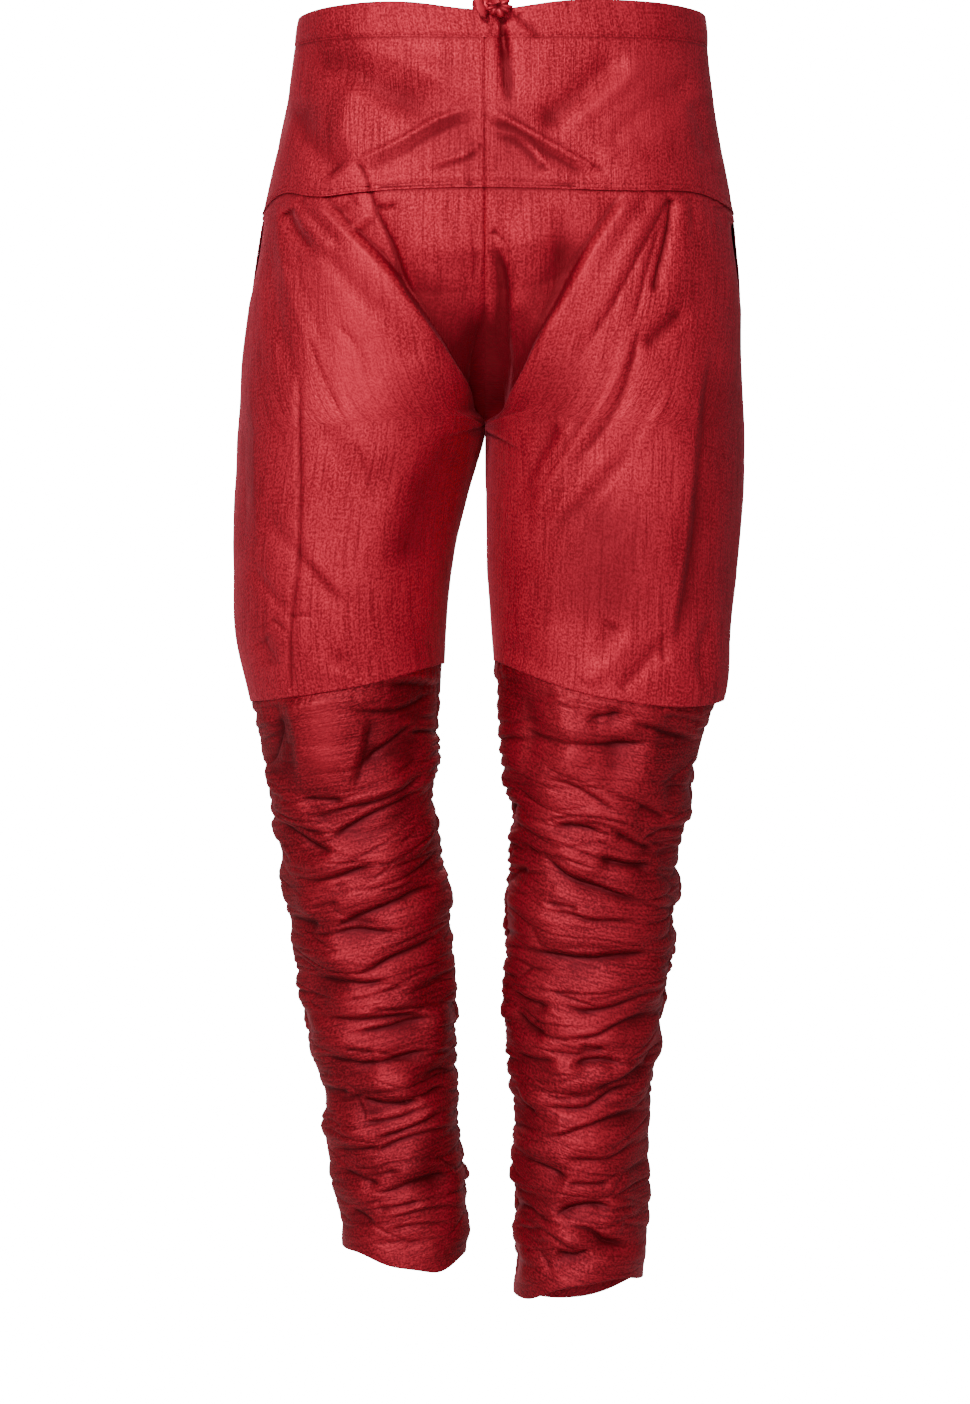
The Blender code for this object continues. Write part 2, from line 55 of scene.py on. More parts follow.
SIDES = ("left", "right")
FACES = ("front", "back")
SIGN = {"left": -1.0, "right": 1.0}
ROUNDNESS = 0.92
CROTCH_HEIGHT = -0.309
TURN_STEPS = 12


def make_camera():
    lens = bpy.data.cameras.new("camera")
    lens.sensor_fit = "VERTICAL"
    lens.sensor_height = SENSOR
    lens.lens = SENSOR * -CAMERA[1] / (PICTURE_HEIGHT * METRES_A_POINT)
    lens.clip_end = 30.0
    camera = bpy.data.objects.new("camera", lens)
    camera.location = CAMERA
    camera.rotation_euler = (math.pi / 2, 0, 0)
    bpy.context.scene.collection.objects.link(camera)
    bpy.context.scene.camera = camera


def smooth_through(places, values, at):
    """A smooth curve through values at rising places, read at the places in at."""
    slopes = np.gradient(values, places, axis=0)
    at = np.clip(at, places[0], places[-1])
    index = np.clip(np.searchsorted(places, at) - 1, 0, len(places) - 2)
    span = places[index + 1] - places[index]
    t = (at - places[index]) / span
    if values.ndim > 1:
        span = span[:, None]
        t = t[:, None]
    start = values[index] * (1 + 2 * t) * (1 - t) ** 2 + slopes[index] * span * t * (1 - t) ** 2
    finish = values[index + 1] * t * t * (3 - 2 * t) + slopes[index + 1] * span * t * t * (t - 1)
    return start + finish


def run_lengths(points):
    """How far along a line each of its points lies."""
    return np.concatenate([[0], np.cumsum(np.linalg.norm(np.diff(points, axis=0), axis=1))])


def smooth_route(route, count):
    """A route's smooth curve, as evenly spaced points."""
    route = np.array(route, float)
    lengths = run_lengths(route)
    return smooth_through(lengths, route, np.linspace(0, lengths[-1], count))


def unit(vectors):
    return vectors / np.linalg.norm(vectors, axis=-1, keepdims=True)


def eased(t):
    t = np.clip(t, 0, 1)
    return t * t * (3 - 2 * t)


def bell(away, width):
    return np.exp(-((away / width) ** 2))


def fading(away, width):
    """1 up to an edge, and less and less behind it."""
    return np.exp(-np.maximum(away, 0) / width)


def pinched(away, width, rounding):
    """1 on a line, and steeply less to both sides of its slightly rounded top."""
    return np.exp(-(np.sqrt(away**2 + rounding**2) - rounding) / width)


# Horizontal rings of each half, as in the solids, in millimetres: outer and inner are distances from the
# plane of the centre seams, closed goes from 0, half of a waist ring, to 1000, a leg's own ring, and the
# rest are Y places.
Ring = namedtuple("Ring", "height outer inner closed front side back")
RINGS = {
    "left": [
        (10, 142, 0, 0, -108, 2, 104), (-20, 146, 0, 0, -112, 2, 110), (-65, 153, 0, 0, -117, 3, 120),
        (-95, 158, 0, 50, -119, 4, 126), (-144, 168, 0, 200, -120, 6, 133),
        (-205, 177, 0, 450, -118, 8, 137), (-259, 184, 0, 750, -113, 10, 132),
        (-309, 188, 0.8, 1000, -108, 10, 122), (-350, 190, 12, 1000, -104, 8, 111),
        (-410, 191, 26, 1000, -98, 4, 98), (-460, 189, 31, 1000, -90, 0, 86),
        (-505, 179, 33, 1000, -80, -3, 76), (-550, 169, 35, 1000, -68, 0, 72),
        (-590, 166, 37, 1000, -60, 6, 76), (-640, 156, 30, 1000, -55, 10, 80),
        (-705, 146, 23, 1000, -50, 13, 78), (-770, 135, 21, 1000, -44, 14, 72),
        (-830, 123, 19, 1000, -40, 14, 66), (-890, 114, 14, 1000, -38, 14, 62),
        (-950, 108, 16, 1000, -40, 12, 58),
    ],
    "right": [
        (10, 167, 0, 0, -108, 2, 104), (-20, 169, 0, 0, -112, 2, 110), (-65, 174, 0, 0, -117, 3, 120),
        (-95, 179, 0, 50, -119, 4, 126), (-144, 188, 0, 200, -120, 6, 133),
        (-205, 195, 0, 450, -118, 8, 137), (-259, 196, 0, 750, -113, 10, 132),
        (-309, 197, 0.8, 1000, -109, 9, 121), (-350, 196, 1, 1000, -108, 4, 107),
        (-410, 190, 3, 1000, -107, -4, 89), (-460, 184, 6, 1000, -104, -14, 72),
        (-505, 176, 9, 1000, -100, -24, 56), (-550, 162, 12, 1000, -94, -28, 46),
        (-590, 156, 18, 1000, -90, -26, 46), (-640, 149, 18, 1000, -87, -22, 50),
        (-705, 144, 14, 1000, -85, -20, 48), (-770, 134, 15, 1000, -84, -20, 40),
        (-830, 127, 19, 1000, -83, -21, 31), (-890, 122, 22, 1000, -84, -22, 24),
        (-970, 118, 22, 1000, -90, -26, 14),
    ],
}
RINGS = {side: [Ring(*(value / 1000 for value in row)) for row in rows] for side, rows in RINGS.items()}

# Heights of the seams and edges that go round a half, at its front, outer side, back and inner side.
Level = namedtuple("Level", "front outer back inner")
WAIST_TOP = {"left": Level(0.003, 0.001, 0.004, 0.003), "right": Level(0.003, 0.004, 0.004, 0.003)}
BAND_FOOT = Level(-0.027, -0.020, -0.017, -0.027)
YOKE_SEAM = Level(-0.138, -0.144, -0.136, -0.138)
KNEE_SEAM = {"left": Level(-0.503, -0.512, -0.500, -0.483), "right": Level(-0.510, -0.516, -0.505, -0.481)}
HEM = {"left": Level(-0.940, -0.928, -0.926, -0.932), "right": Level(-0.946, -0.946, -0.968, -0.958)}
KNOT_DIP = 0.010
KNOT_DIP_WIDTH = 0.050
# Where a seam or hem rises or falls between those places: the turn and the spread in degrees, and by what.
Bump = namedtuple("Bump", "turn spread rise")
YOKE_BUMPS = {"left": [Bump(60, 13, 0.0075), Bump(39, 9, -0.0010)], "right": [Bump(52, 20, 0.0060)]}
KNEE_BUMPS = {"left": [], "right": [Bump(90, 32, 0.0050)]}
HEM_BUMPS = {
    "left": [Bump(-38, 22, -0.006), Bump(38, 25, 0.005)],
    "right": [Bump(-48, 22, -0.004), Bump(38, 25, 0.003)],
}

# Troughs of the lower legs that go all round, in millimetres below the knee seam at the outer seam, centre
# front, inner seam and centre back, with their depth in millimetres.
Gather = namedtuple("Gather", "outer front inner back depth")
GATHERS = {
    "left": [
        (14, 19, 23, 12, 2.5), (30, 38, 40, 33, 4.0), (45, 58, 57, 52, 4.0), (63, 77, 67, 74, 4.0),
        (79, 95, 78, 88, 5.5), (93, 111, 91, 108, 6.5), (109, 126, 109, 121, 4.5),
        (125, 142, 130, 141, 4.0), (142, 157, 149, 155, 4.0), (159, 174, 168, 172, 4.5),
        (176, 189, 186, 190, 5.0), (191, 205, 202, 203, 4.0), (205, 221, 220, 219, 6.5),
        (220, 235, 239, 236, 4.0), (236, 248, 256, 251, 4.0), (251, 262, 273, 267, 6.0),
        (266, 279, 292, 283, 6.0), (281, 293, 309, 298, 3.5), (296, 309, 325, 314, 6.0),
        (312, 325, 339, 329, 5.0), (329, 341, 353, 344, 4.0), (346, 357, 369, 360, 4.0),
        (363, 373, 386, 377, 5.5), (380, 389, 402, 393, 3.5), (396, 405, 417, 408, 3.0),
    ],
    "right": [
        (15, 15, 24, 16, 3.0), (30, 34, 46, 36, 5.5), (47, 52, 64, 56, 4.5), (64, 69, 81, 74, 5.0),
        (82, 84, 97, 91, 4.0), (98, 98, 111, 106, 6.0), (114, 113, 126, 121, 6.5),
        (130, 129, 140, 137, 6.5), (146, 145, 156, 153, 6.0), (160, 160, 173, 169, 5.0),
        (173, 176, 191, 184, 4.0), (186, 193, 209, 200, 5.5), (198, 208, 226, 215, 4.0),
        (210, 223, 242, 228, 3.5), (222, 238, 257, 242, 5.5), (235, 253, 271, 258, 4.0),
        (249, 265, 285, 272, 4.0), (264, 279, 300, 287, 5.5), (278, 293, 316, 302, 4.0),
        (292, 308, 333, 318, 5.0), (308, 325, 349, 335, 4.0), (326, 342, 366, 352, 5.0),
        (344, 358, 383, 370, 5.0), (362, 373, 400, 387, 4.0), (380, 388, 417, 404, 5.0),
        (398, 404, 434, 421, 4.0), (414, 420, 451, 440, 3.0),
    ],
}
GATHERS = {side: [Gather(*row) for row in rows] for side, rows in GATHERS.items()}


Crease = namedtuple("Crease", "kind rise near far route fade_in fade_out")


def crease(kind, rise, near, far, path, fade_in=0.2, fade_out=0.3):
    """A crease with its path written as x,y pairs."""
    route = [tuple(map(float, spot.split(","))) for spot in path.split()]
    return Crease(kind, rise, near, far, route, fade_in, fade_out)


soft = functools.partial(crease, "soft")
sharp = functools.partial(crease, "sharp")
lap = functools.partial(crease, "lap")
tuck = functools.partial(crease, "tuck")

# Creases and folds, in picture points as seen from the front, or from behind through the cloth for the
# back: the rise, the near and far widths, the path and the two fades. Rise is in millimetres, and negative
# for a trough. Near is the width on the left of a line that goes down, or below one that goes to the right,
# and far the width on its other side, both in points. Soft is a rounded fold, sharp a pinched line, lap a
# fold whose far side drops behind its edge, and tuck a trough over which the cloth hangs out. The fades are
# the shares of the length over which it starts and ends.
YOKE_CREASES = [
    sharp(-5.0, 2, 3, "500,4 502,22 504,43 506,64", 0.02),
    soft(-3.2, 7, 9, "502,24 505,60 510,112", 0.2, 0.4),
    sharp(-1.6, 2, 2, "496,18 494,28 492,38", 0.1),
    sharp(-2.0, 2, 2, "506,8 508,14 506,24", 0.05, 0.4),
    sharp(-2.0, 2, 3, "508,6 513,12 516,22", 0.05, 0.4),
    soft(-2.2, 4, 5, "517,12 524,22 535,31 542,40", 0.1),
    lap(1.7, 3, 12, "482,106 440,118 396,143 354,163", 0.35, 0.1),
    lap(1.7, 3, 10, "598,170 562,150 519,126 486,108", 0.15, 0.2),
    lap(1.0, 3, 7, "549,170 540,156 520,138 490,128", 0.1),
    lap(0.9, 3, 6, "479,138 468,152 445,160 422,167", 0.1),
    sharp(-1.2, 2, 2, "477,138 470,152 476,160"),
    sharp(-1.2, 2, 2, "543,162 547,172"),
    sharp(-1.4, 3, 2, "592,163 608,172"),
    soft(-5.0, 12, 18, "288,88 302,130 338,176", 0.3, 0.1),
    soft(2.4, 12, 12, "352,80 345,120 350,160"),
    soft(-4.2, 14, 18, "292,52 340,66 392,96 440,116"),
    soft(2.2, 12, 12, "340,44 400,58 452,88"),
    soft(2.6, 8, 10, "598,166 640,124 690,78"),
    soft(-4.4, 13, 15, "534,128 574,100 626,52", 0.2, 0.2),
    soft(-4.2, 12, 12, "602,158 650,112 698,74", 0.2, 0.2),
    soft(2.2, 10, 12, "566,126 610,92 650,50"),
    soft(-2.6, 9, 12, "692,96 704,130 712,170"),
    soft(1.6, 14, 14, "420,60 450,80 478,100"),
    sharp(-2.2, 3, 3, "356,160 364,176 368,190", 0.3, 0.0),
    sharp(-1.0, 2, 2, "470,186 468,170 472,158", 0.0, 0.6),
]
THIGH_CREASES = [
    lap(3.4, 30, 8, "306,188 346,231 383,268 421,316 450,353 473,388 485,424", 0.1, 0.0),
    soft(-5.0, 12, 26, "352,220 390,262 426,306 456,346 480,386", 0.3, 0.2),
    sharp(-3.6, 4, 4, "368,186 374,207 391,243 405,281 420,314", 0.0),
    sharp(-3.0, 3, 2, "374,206 385,207 397,203"),
    lap(1.6, 6, 7, "372,213 360,221 347,231"),
    soft(-1.8, 7, 8, "356,196 345,204 338,214"),
    lap(0.9, 5, 12, "280,208 281,238 288,280 299,315 309,345 320,378", 0.0),
    soft(-2.4, 10, 9, "272,240 272,290 282,340 300,392"),
    sharp(-1.4, 3, 3, "306,330 320,372 334,404 346,434", 0.2, 0.4),
    soft(-3.2, 7, 8, "286,212 296,232 318,258", 0.0, 0.4),
    soft(1.2, 8, 8, "290,200 310,226 340,262", 0.0, 0.4),
    soft(-2.0, 6, 7, "300,200 322,226 352,256", 0.0, 0.5),
    sharp(-1.6, 3, 4, "333,321 353,342 369,372 379,388"),
    soft(-2.4, 12, 14, "366,300 392,330 420,372"),
    sharp(-2.0, 2, 2, "298,371 299,440 300,500 298,560 291,630 291,690", 0.1, 0.0),
    lap(1.5, 24, 12, "257,552 256,500 253,420 246,350", 0.3),
    soft(-2.2, 12, 9, "258,500 274,526 296,552 320,580 344,606 356,624"),
    soft(1.8, 5, 7, "300,546 326,574 352,604", 0.3),
    soft(-2.0, 7, 6, "250,566 270,592 288,616"),
    sharp(-1.4, 3, 2, "269,618 279,624 288,633"),
    sharp(-1.2, 2, 2, "286,617 300,616 318,617"),
    soft(-2.6, 10, 10, "258,636 266,650 270,672"),
    soft(-4.6, 18, 26, "462,430 434,478 416,530 392,596"),
    soft(-2.0, 10, 10, "330,652 350,668 366,684", 0.3, 0.0),
    soft(1.6, 12, 12, "300,660 330,672 350,684", 0.3, 0.0),
    soft(-1.8, 12, 14, "318,420 352,470 392,510"),
    soft(1.8, 14, 14, "330,400 372,452 404,470"),
    soft(-1.8, 9, 9, "322,246 350,286 380,318"),
    sharp(-0.9, 2, 2, "352,440 366,470 374,500"),
    sharp(-1.0, 2, 2, "330,392 344,420 356,446"),
    sharp(-1.2, 2, 2, "470,213 474,250 476,291"),
    lap(3.4, 30, 8, "488,430 508,396 532,352 551,321 568,293 588,258 634,188", 0.0, 0.1),
    soft(-4.6, 26, 12, "596,220 572,256 546,300 522,346 502,392", 0.3, 0.2),
    sharp(-4.4, 5, 2.5, "673,200 669,232 659,273 653,296", 0.0, 0.15),
    sharp(-1.8, 3, 3, "670,197 641,251 609,312 587,346 571,374", 0.0),
    soft(1.1, 8, 9, "662,196 630,250 598,310 572,352", 0.0),
    soft(-1.2, 7, 8, "648,194 616,244 586,296", 0.0, 0.5),
    sharp(-1.6, 3, 2, "664,214 650,262 640,300 628,340"),
    soft(1.2, 9, 9, "684,204 682,250 668,300 656,340", 0.0),
    sharp(-1.2, 3, 3, "691,198 692,220 690,246", 0.0, 0.5),
    sharp(-1.2, 3, 3, "709,200 712,222 712,250", 0.0, 0.5),
    soft(-1.8, 6, 6, "720,206 722,230 720,256", 0.0, 0.5),
    soft(-3.4, 9, 10, "686,308 662,332 640,353"),
    sharp(-1.8, 4, 3, "642,322 634,358 619,403 600,434 570,470"),
    soft(2.5, 6, 7, "634,322 618,372 590,424 554,478 526,530"),
    soft(-1.6, 10, 9, "690,356 660,403 636,446 606,500 586,540"),
    soft(1.8, 7, 7, "676,372 648,430 614,484 586,520"),
    lap(1.3, 40, 8, "708,330 700,380 692,456 685,542 676,597 667,655", 0.2, 0.1),
    soft(-2.0, 10, 14, "706,470 700,530 692,600 684,652"),
    soft(-6.0, 8, 8, "489,226 500,272 496,340 489,390 485,432", 0.2, 0.25),
    soft(-5.5, 26, 26, "486,290 485,350 485,420", 0.7, 0.1),
    sharp(-2.4, 4, 6, "491,230 505,243 507,262", 0.1, 0.4),
    lap(2.8, 30, 40, "576,210 549,234 515,247 484,248 446,251 388,243", 0.3),
    soft(-2.6, 15, 17, "560,200 562,250 556,300 540,330"),
    soft(-2.0, 10, 12, "512,300 510,350 498,396"),
    soft(-1.6, 10, 12, "640,440 596,492 556,530 530,566"),
    soft(1.8, 8, 8, "612,450 580,486 546,524"),
    soft(-2.0, 9, 9, "560,420 534,470 514,520"),
    soft(1.8, 7, 7, "576,420 548,462 526,500"),
    sharp(-2.4, 3, 2, "662,630 664,646 665,664", 0.3, 0.2),
    soft(-2.6, 8, 8, "664,640 646,662 622,690", 0.2, 0.0),
    soft(2.0, 10, 10, "640,632 610,660 588,684", 0.3, 0.0),
    soft(-2.0, 10, 10, "616,620 604,646 596,668"),
    soft(-2.2, 5, 8, "710,612 700,650 698,692"),
    soft(-2.2, 14, 16, "500,640 520,660 548,674"),
]
# Folds of the hidden back, in the same kind of points.
BACK_CREASES = [
    lap(3.0, 24, 22, "338,420 396,448 446,456 476,440", 0.3, 0.2),
    soft(-3.4, 14, 18, "352,446 404,468 456,470", 0.3, 0.2),
    soft(-2.0, 16, 18, "330,474 372,502 430,508"),
    soft(-3.0, 14, 12, "432,200 426,290 446,380", 0.1, 0.4),
    soft(3.0, 14, 14, "400,200 392,290 412,380", 0.1, 0.4),
    soft(-3.0, 12, 12, "340,196 346,270 372,350", 0.0, 0.4),
    lap(2.6, 12, 12, "320,196 322,270 340,340", 0.0, 0.4),
    soft(-2.6, 14, 12, "296,588 342,628 398,646"),
    soft(-1.8, 14, 14, "420,530 392,568 352,592"),
    sharp(-1.3, 2, 2, "330,400 326,500 332,600 336,690", 0.2, 0.0),
    lap(3.2, 24, 22, "628,436 574,452 524,456 496,442", 0.3, 0.2),
    soft(-3.2, 14, 18, "612,460 560,474 510,470", 0.3, 0.2),
    soft(-1.8, 16, 18, "668,470 620,516 560,532"),
    soft(-3.0, 12, 14, "546,200 552,290 524,380", 0.1, 0.4),
    soft(3.0, 14, 14, "580,200 586,290 560,380", 0.1, 0.4),
    soft(-3.0, 12, 12, "650,196 642,270 610,350", 0.0, 0.4),
    lap(2.2, 12, 14, "632,350 664,270 672,196", 0.5, 0.0),
    soft(-2.6, 12, 14, "688,596 630,650 566,662"),
    soft(-1.8, 14, 14, "530,560 576,596 626,612"),
    sharp(-1.3, 2, 2, "640,400 646,500 640,600 636,690", 0.2, 0.0),
]
# The main troughs of the ruched fronts, each with its depth in millimetres and its path in picture points.
LEG_TROUGHS = {
    "left": [
        (2.4, "346,710 380,713 412,712"), (3.0, "356,770 386,748 424,722"),
        (1.8, "386,716 420,706 442,690"), (2.0, "254,742 270,736 286,724"),
        (2.6, "270,716 278,722 276,744 266,772"), (2.2, "256,778 270,792 288,800"),
        (3.0, "294,800 318,800 350,801"), (4.0, "299,822 342,811 396,796 440,762"),
        (5.4, "318,846 340,834 374,816 410,798 440,778"), (4.2, "268,815 294,834 316,848 342,853"),
        (3.0, "272,836 282,852 294,866"), (4.2, "282,868 306,880 342,876 384,861"),
        (2.8, "296,894 324,889 356,882"), (3.2, "304,909 322,905 342,901"),
        (4.4, "322,934 358,918 386,908 411,897 442,880"), (3.0, "284,912 300,922 320,926"),
        (3.6, "322,937 358,932 382,933 408,928"), (3.2, "394,906 420,892 444,884"),
        (4.6, "300,972 320,980 350,984 372,984 398,974"), (3.8, "344,982 386,963 428,943 452,922"),
        (3.2, "330,1005 372,996 416,983"), (2.8, "362,1010 400,1010 421,1006"),
        (4.4, "300,1011 344,1020 386,1018 444,1016"), (4.4, "337,1034 386,1029 428,1019 449,1016"),
        (5.0, "316,1053 344,1061 364,1064 390,1060"), (3.0, "342,1047 362,1051 380,1052"),
        (4.0, "334,1071 388,1062 444,1047"), (3.0, "316,1084 332,1091 350,1094"),
        (5.0, "352,1098 380,1104 429,1101"), (4.0, "349,1124 375,1123 402,1117 433,1103"),
        (3.6, "362,1139 394,1134 434,1116 453,1103"), (3.4, "326,1147 348,1150 367,1149 389,1146"),
        (4.0, "362,1160 394,1144 420,1134 465,1122"), (3.0, "354,1177 380,1175 404,1167"),
        (4.8, "334,1166 360,1179 386,1186"), (4.2, "356,1190 386,1192 414,1183 463,1174"),
        (3.0, "365,1210 398,1206 429,1199"), (3.4, "373,1223 407,1214 447,1206 468,1203"),
        (3.2, "378,1232 420,1225 463,1222"), (2.4, "345,1206 360,1216 378,1226"),
        (2.0, "395,1250 424,1240 458,1238"),
    ],
    "right": [
        (2.6, "584,719 606,716 626,713"), (4.6, "626,722 650,728 676,736 706,741"),
        (3.2, "504,725 546,739 596,746 640,744 680,734"), (2.4, "656,716 680,718 708,722"),
        (2.6, "540,776 568,784 596,799 623,818"), (3.0, "634,803 654,812 674,822"),
        (3.6, "548,825 573,827 606,833"), (4.6, "607,828 629,841 664,853"),
        (6.4, "592,855 604,861 621,865 640,867 664,866"),
        (5.4, "532,844 548,862 563,877 602,891 632,900 662,908"), (3.0, "506,888 516,872 530,870"),
        (4.0, "530,910 569,915 588,921 619,922 653,921"), (3.0, "540,900 560,906 584,910"),
        (4.6, "505,945 546,956 588,961 616,959 678,946"), (3.0, "558,964 584,968 611,968"),
        (3.2, "504,985 524,1000 552,1010"), (4.4, "556,1004 581,1013 609,1010 644,996 674,983"),
        (3.0, "510,1006 524,1026 548,1038"), (4.2, "556,1040 595,1037 616,1027 668,1009"),
        (5.0, "566,1067 595,1062 632,1064"), (3.2, "575,1046 594,1049 611,1050"),
        (3.0, "506,1050 530,1060 560,1062"), (4.0, "586,1091 616,1083 645,1068 662,1062"),
        (4.2, "532,1105 556,1109 581,1110 622,1089 660,1079"),
        (4.2, "536,1130 556,1136 578,1130 612,1120 658,1107"), (3.4, "511,1080 520,1100 540,1118"),
        (3.8, "509,1150 540,1166 574,1182"), (3.4, "556,1157 585,1161 607,1160 650,1134"),
        (3.0, "560,1184 590,1186 620,1184"), (4.8, "545,1220 578,1209 607,1208 622,1213"),
        (3.8, "552,1227 593,1233 607,1243 647,1242"), (3.4, "550,1251 570,1256 596,1249"),
        (2.6, "512,1224 530,1230 544,1228"), (2.4, "620,1222 636,1226 648,1222"),
    ],
}
# Broad folds that hang down from the knee seam.
LEG_FOLDS = {
    "left": [
        soft(6.5, 9, 40, "288,684 303,740 305,800", 0.1, 0.4),
        lap(1.8, 26, 9, "366,708 358,748 344,796", 0.3),
        soft(-6.5, 46, 16, "424,676 420,730 400,790", 0.1),
        soft(-2.4, 7, 8, "270,700 278,724 264,776", 0.1),
        soft(2.0, 9, 10, "424,724 400,738 372,754"),
    ],
    "right": [
        soft(3.2, 18, 18, "560,690 570,740 566,790", 0.1, 0.4),
        soft(-3.0, 16, 16, "612,700 618,750 606,810", 0.2, 0.4),
        soft(2.6, 14, 12, "652,706 650,760 640,800", 0.2, 0.4),
        soft(-2.4, 8, 12, "524,690 530,740 524,800"),
        soft(-2.0, 8, 8, "684,760 672,800 668,836", 0.2, 0.4),
    ],
}
# Painted shade where the cloth lies in shade, and painted light where rise is negative. Here rise is a share in
# thousandths.
PAINTED_SHADE_AND_LIGHT = [
    soft(1700, 2, 2, "500,10 502,28 504,44", 0.1),
    soft(1900, 5, 6, "502,30 505,56 507,80 509,114", 0.3, 0.5),
    soft(950, 2, 13, "478,108 440,119 396,144 358,163", 0.2, 0.2),
    soft(800, 2, 12, "594,170 562,152 519,128 492,112", 0.2, 0.2),
    soft(500, 2, 6, "476,140 468,152 445,160 424,167", 0.1),
    soft(400, 2, 6, "546,170 538,158 520,141 496,132", 0.1),
    soft(500, 2, 2, "356,160 364,176 368,190", 0.2, 0.1),
    soft(500, 2, 2, "368,190 376,212 391,243 405,281", 0.1, 0.4),
    soft(900, 1.2, 12, "257,560 256,500 254,430 250,346", 0.4, 0.4),
    soft(450, 6, 1.5, "300,371 300,500 297,560 291,630 290,688", 0.3, 0.0),
    soft(450, 16, 14, "262,612 272,640 270,668", 0.3),
    soft(750, 1.2, 40, "706,340 700,390 692,456 685,542 676,597 667,655", 0.2, 0.2),
    soft(1300, 17, 17, "484,276 483,330 485,436", 0.5, 0.0),
    soft(900, 2, 15, "346,231 383,268 421,316 450,353 473,388 485,424", 0.4, 0.0),
    soft(900, 2, 15, "488,430 508,396 532,352 551,321 568,293 588,258", 0.0, 0.4),
    soft(1300, 11, 2, "507,250 506,272 501,310 496,350 490,400", 0.2, 0.2),
    soft(450, 3, 30, "570,216 549,236 515,249 484,251 446,252 398,246"),
    soft(-1500, 18, 16, "322,694 326,740 322,794", 0.1),
    soft(500, 45, 60, "410,50 440,110 480,190", 0.3),
    soft(650, 50, 50, "520,80 510,150 500,220", 0.3),
    soft(-1200, 50, 50, "606,50 640,100 660,160", 0.3),
    soft(1100, 60, 60, "610,470 604,560 590,650", 0.3),
    soft(550, 40, 40, "560,330 560,400 570,470", 0.3),
    soft(-1300, 45, 45, "330,230 350,330 366,450"),
    soft(900, 13, 13, "278,708 288,750 282,792"),
    soft(650, 1.5, 30, "366,708 358,748 344,796"),
    soft(450, 60, 60, "380,980 400,1100 420,1230", 0.3, 0.1),
    soft(700, 4, 4, "671,214 667,240 657,280 652,300", 0.2, 0.1),
    soft(500, 9, 9, "686,308 662,332 640,353"),
    soft(500, 6, 6, "290,208 300,228 318,250", 0.1, 0.4),
    soft(500, 30, 22, "452,440 432,480 420,530 402,596", 0.3),
]


def column(rings, name, height):
    """One column of a ring table at the given heights."""
    heights = np.array([ring.height for ring in rings])[::-1]
    values = np.array([getattr(ring, name) for ring in rings])[::-1]
    return smooth_through(heights, values, height)


def closing(side, height):
    """How far round from the centre front a half begins at a height: 0 above, a quarter turn in a leg."""
    closed = np.clip(column(RINGS[side], "closed", height), 0.0, 1.0)
    return np.arcsin(closed ** (1 / ROUNDNESS))


def around(level, turn, bumps=()):
    """A level's height at a turn: 0 is the front, a quarter turn the outer side, a half turn the back."""
    middle = np.where(np.cos(turn) >= 0, level.front, level.back)
    slope = (level.outer - level.inner) / 2
    mean = (level.outer + level.inner) / 2
    height = middle + slope * np.sin(turn) + (mean - middle) * np.sin(turn) ** 2
    for bump in bumps:
        height = height + bump.rise * bell(np.degrees(turn) - bump.turn, bump.spread)
    return height


def yoke_seam(side, turn):
    return around(YOKE_SEAM, turn, YOKE_BUMPS[side])


def knee_seam(side, turn):
    return around(KNEE_SEAM[side], turn, KNEE_BUMPS[side])


def hem_edge(side, turn):
    return around(HEM[side], turn, HEM_BUMPS[side])


def ring_points(side, turn, height):
    """Points of a half's ring, with X counted outwards, and their level outward directions."""
    rings = RINGS[side]
    closed = np.clip(column(rings, "closed", height), 0.0, 1.0)
    outer = column(rings, "outer", height)
    half = (outer - column(rings, "inner", height)) / (1 + closed)
    side_y = column(rings, "side", height)
    end_y = np.where(np.cos(turn) >= 0, column(rings, "front", height), column(rings, "back", height))
    sine = np.sin(turn)
    cosine = np.cos(turn)
    x = outer - half + half * np.sign(sine) * np.abs(sine) ** ROUNDNESS
    y = side_y + (end_y - side_y) * np.abs(cosine) ** ROUNDNESS
    outward = np.stack([sine / half, -cosine / np.abs(end_y - side_y), np.zeros_like(half)], axis=-1)
    return np.stack([x, y, height], axis=-1), unit(outward)


# How far thighs reach up behind the yoke and down below the knee seam, and legs up behind the thighs.
THIGH_TOP = {"front": 0.004, "back": 0.009}
THIGH_FOOT = 0.002
LEG_TOP = 0.004


def row_heights(panel, side, face, turn, down):
    """Heights of a panel's rows at a turn: down is 0 in the top row and 1 in the last."""
    if panel == "yoke":
        top = around(BAND_FOOT, turn)
        foot = yoke_seam(side, turn)
    elif panel == "thigh":
        top = yoke_seam(side, turn) + THIGH_TOP[face]
        foot = knee_seam(side, turn) - THIGH_FOOT
    else:
        top = knee_seam(side, turn) + LEG_TOP
        foot = hem_edge(side, turn)
    return top + (foot - top) * down


def panel_turns(side, face, height, share):
    """Turns of a panel's columns: share is 0 at the inner edge of a front or at the outer edge of a back."""
    start = closing(side, height)
    if face == "front":
        return -start + share * (start + math.pi / 2)
    return math.pi / 2 + share * (start + math.pi / 2)


def panel_base(panel, side, face, rows, columns):
    """A panel's points, outward directions and turns."""
    down = np.linspace(0, 1, rows + 1)[:, None]
    share = np.linspace(0, 1, columns + 1)[None, :]
    turn = panel_turns(side, face, np.full(share.shape, CROTCH_HEIGHT), share)
    for _ in range(TURN_STEPS):
        height = row_heights(panel, side, face, turn, down)
        turn = panel_turns(side, face, height, share)
    points, outward = ring_points(side, turn, height)
    return points, outward, turn


# Large numbers that mix a place and a seed into one number.
PLACE_MIXERS = (73856093, 19349663, 83492791)
SEED_MIXER = 2654435761
LAST_MIXER = 1274126177


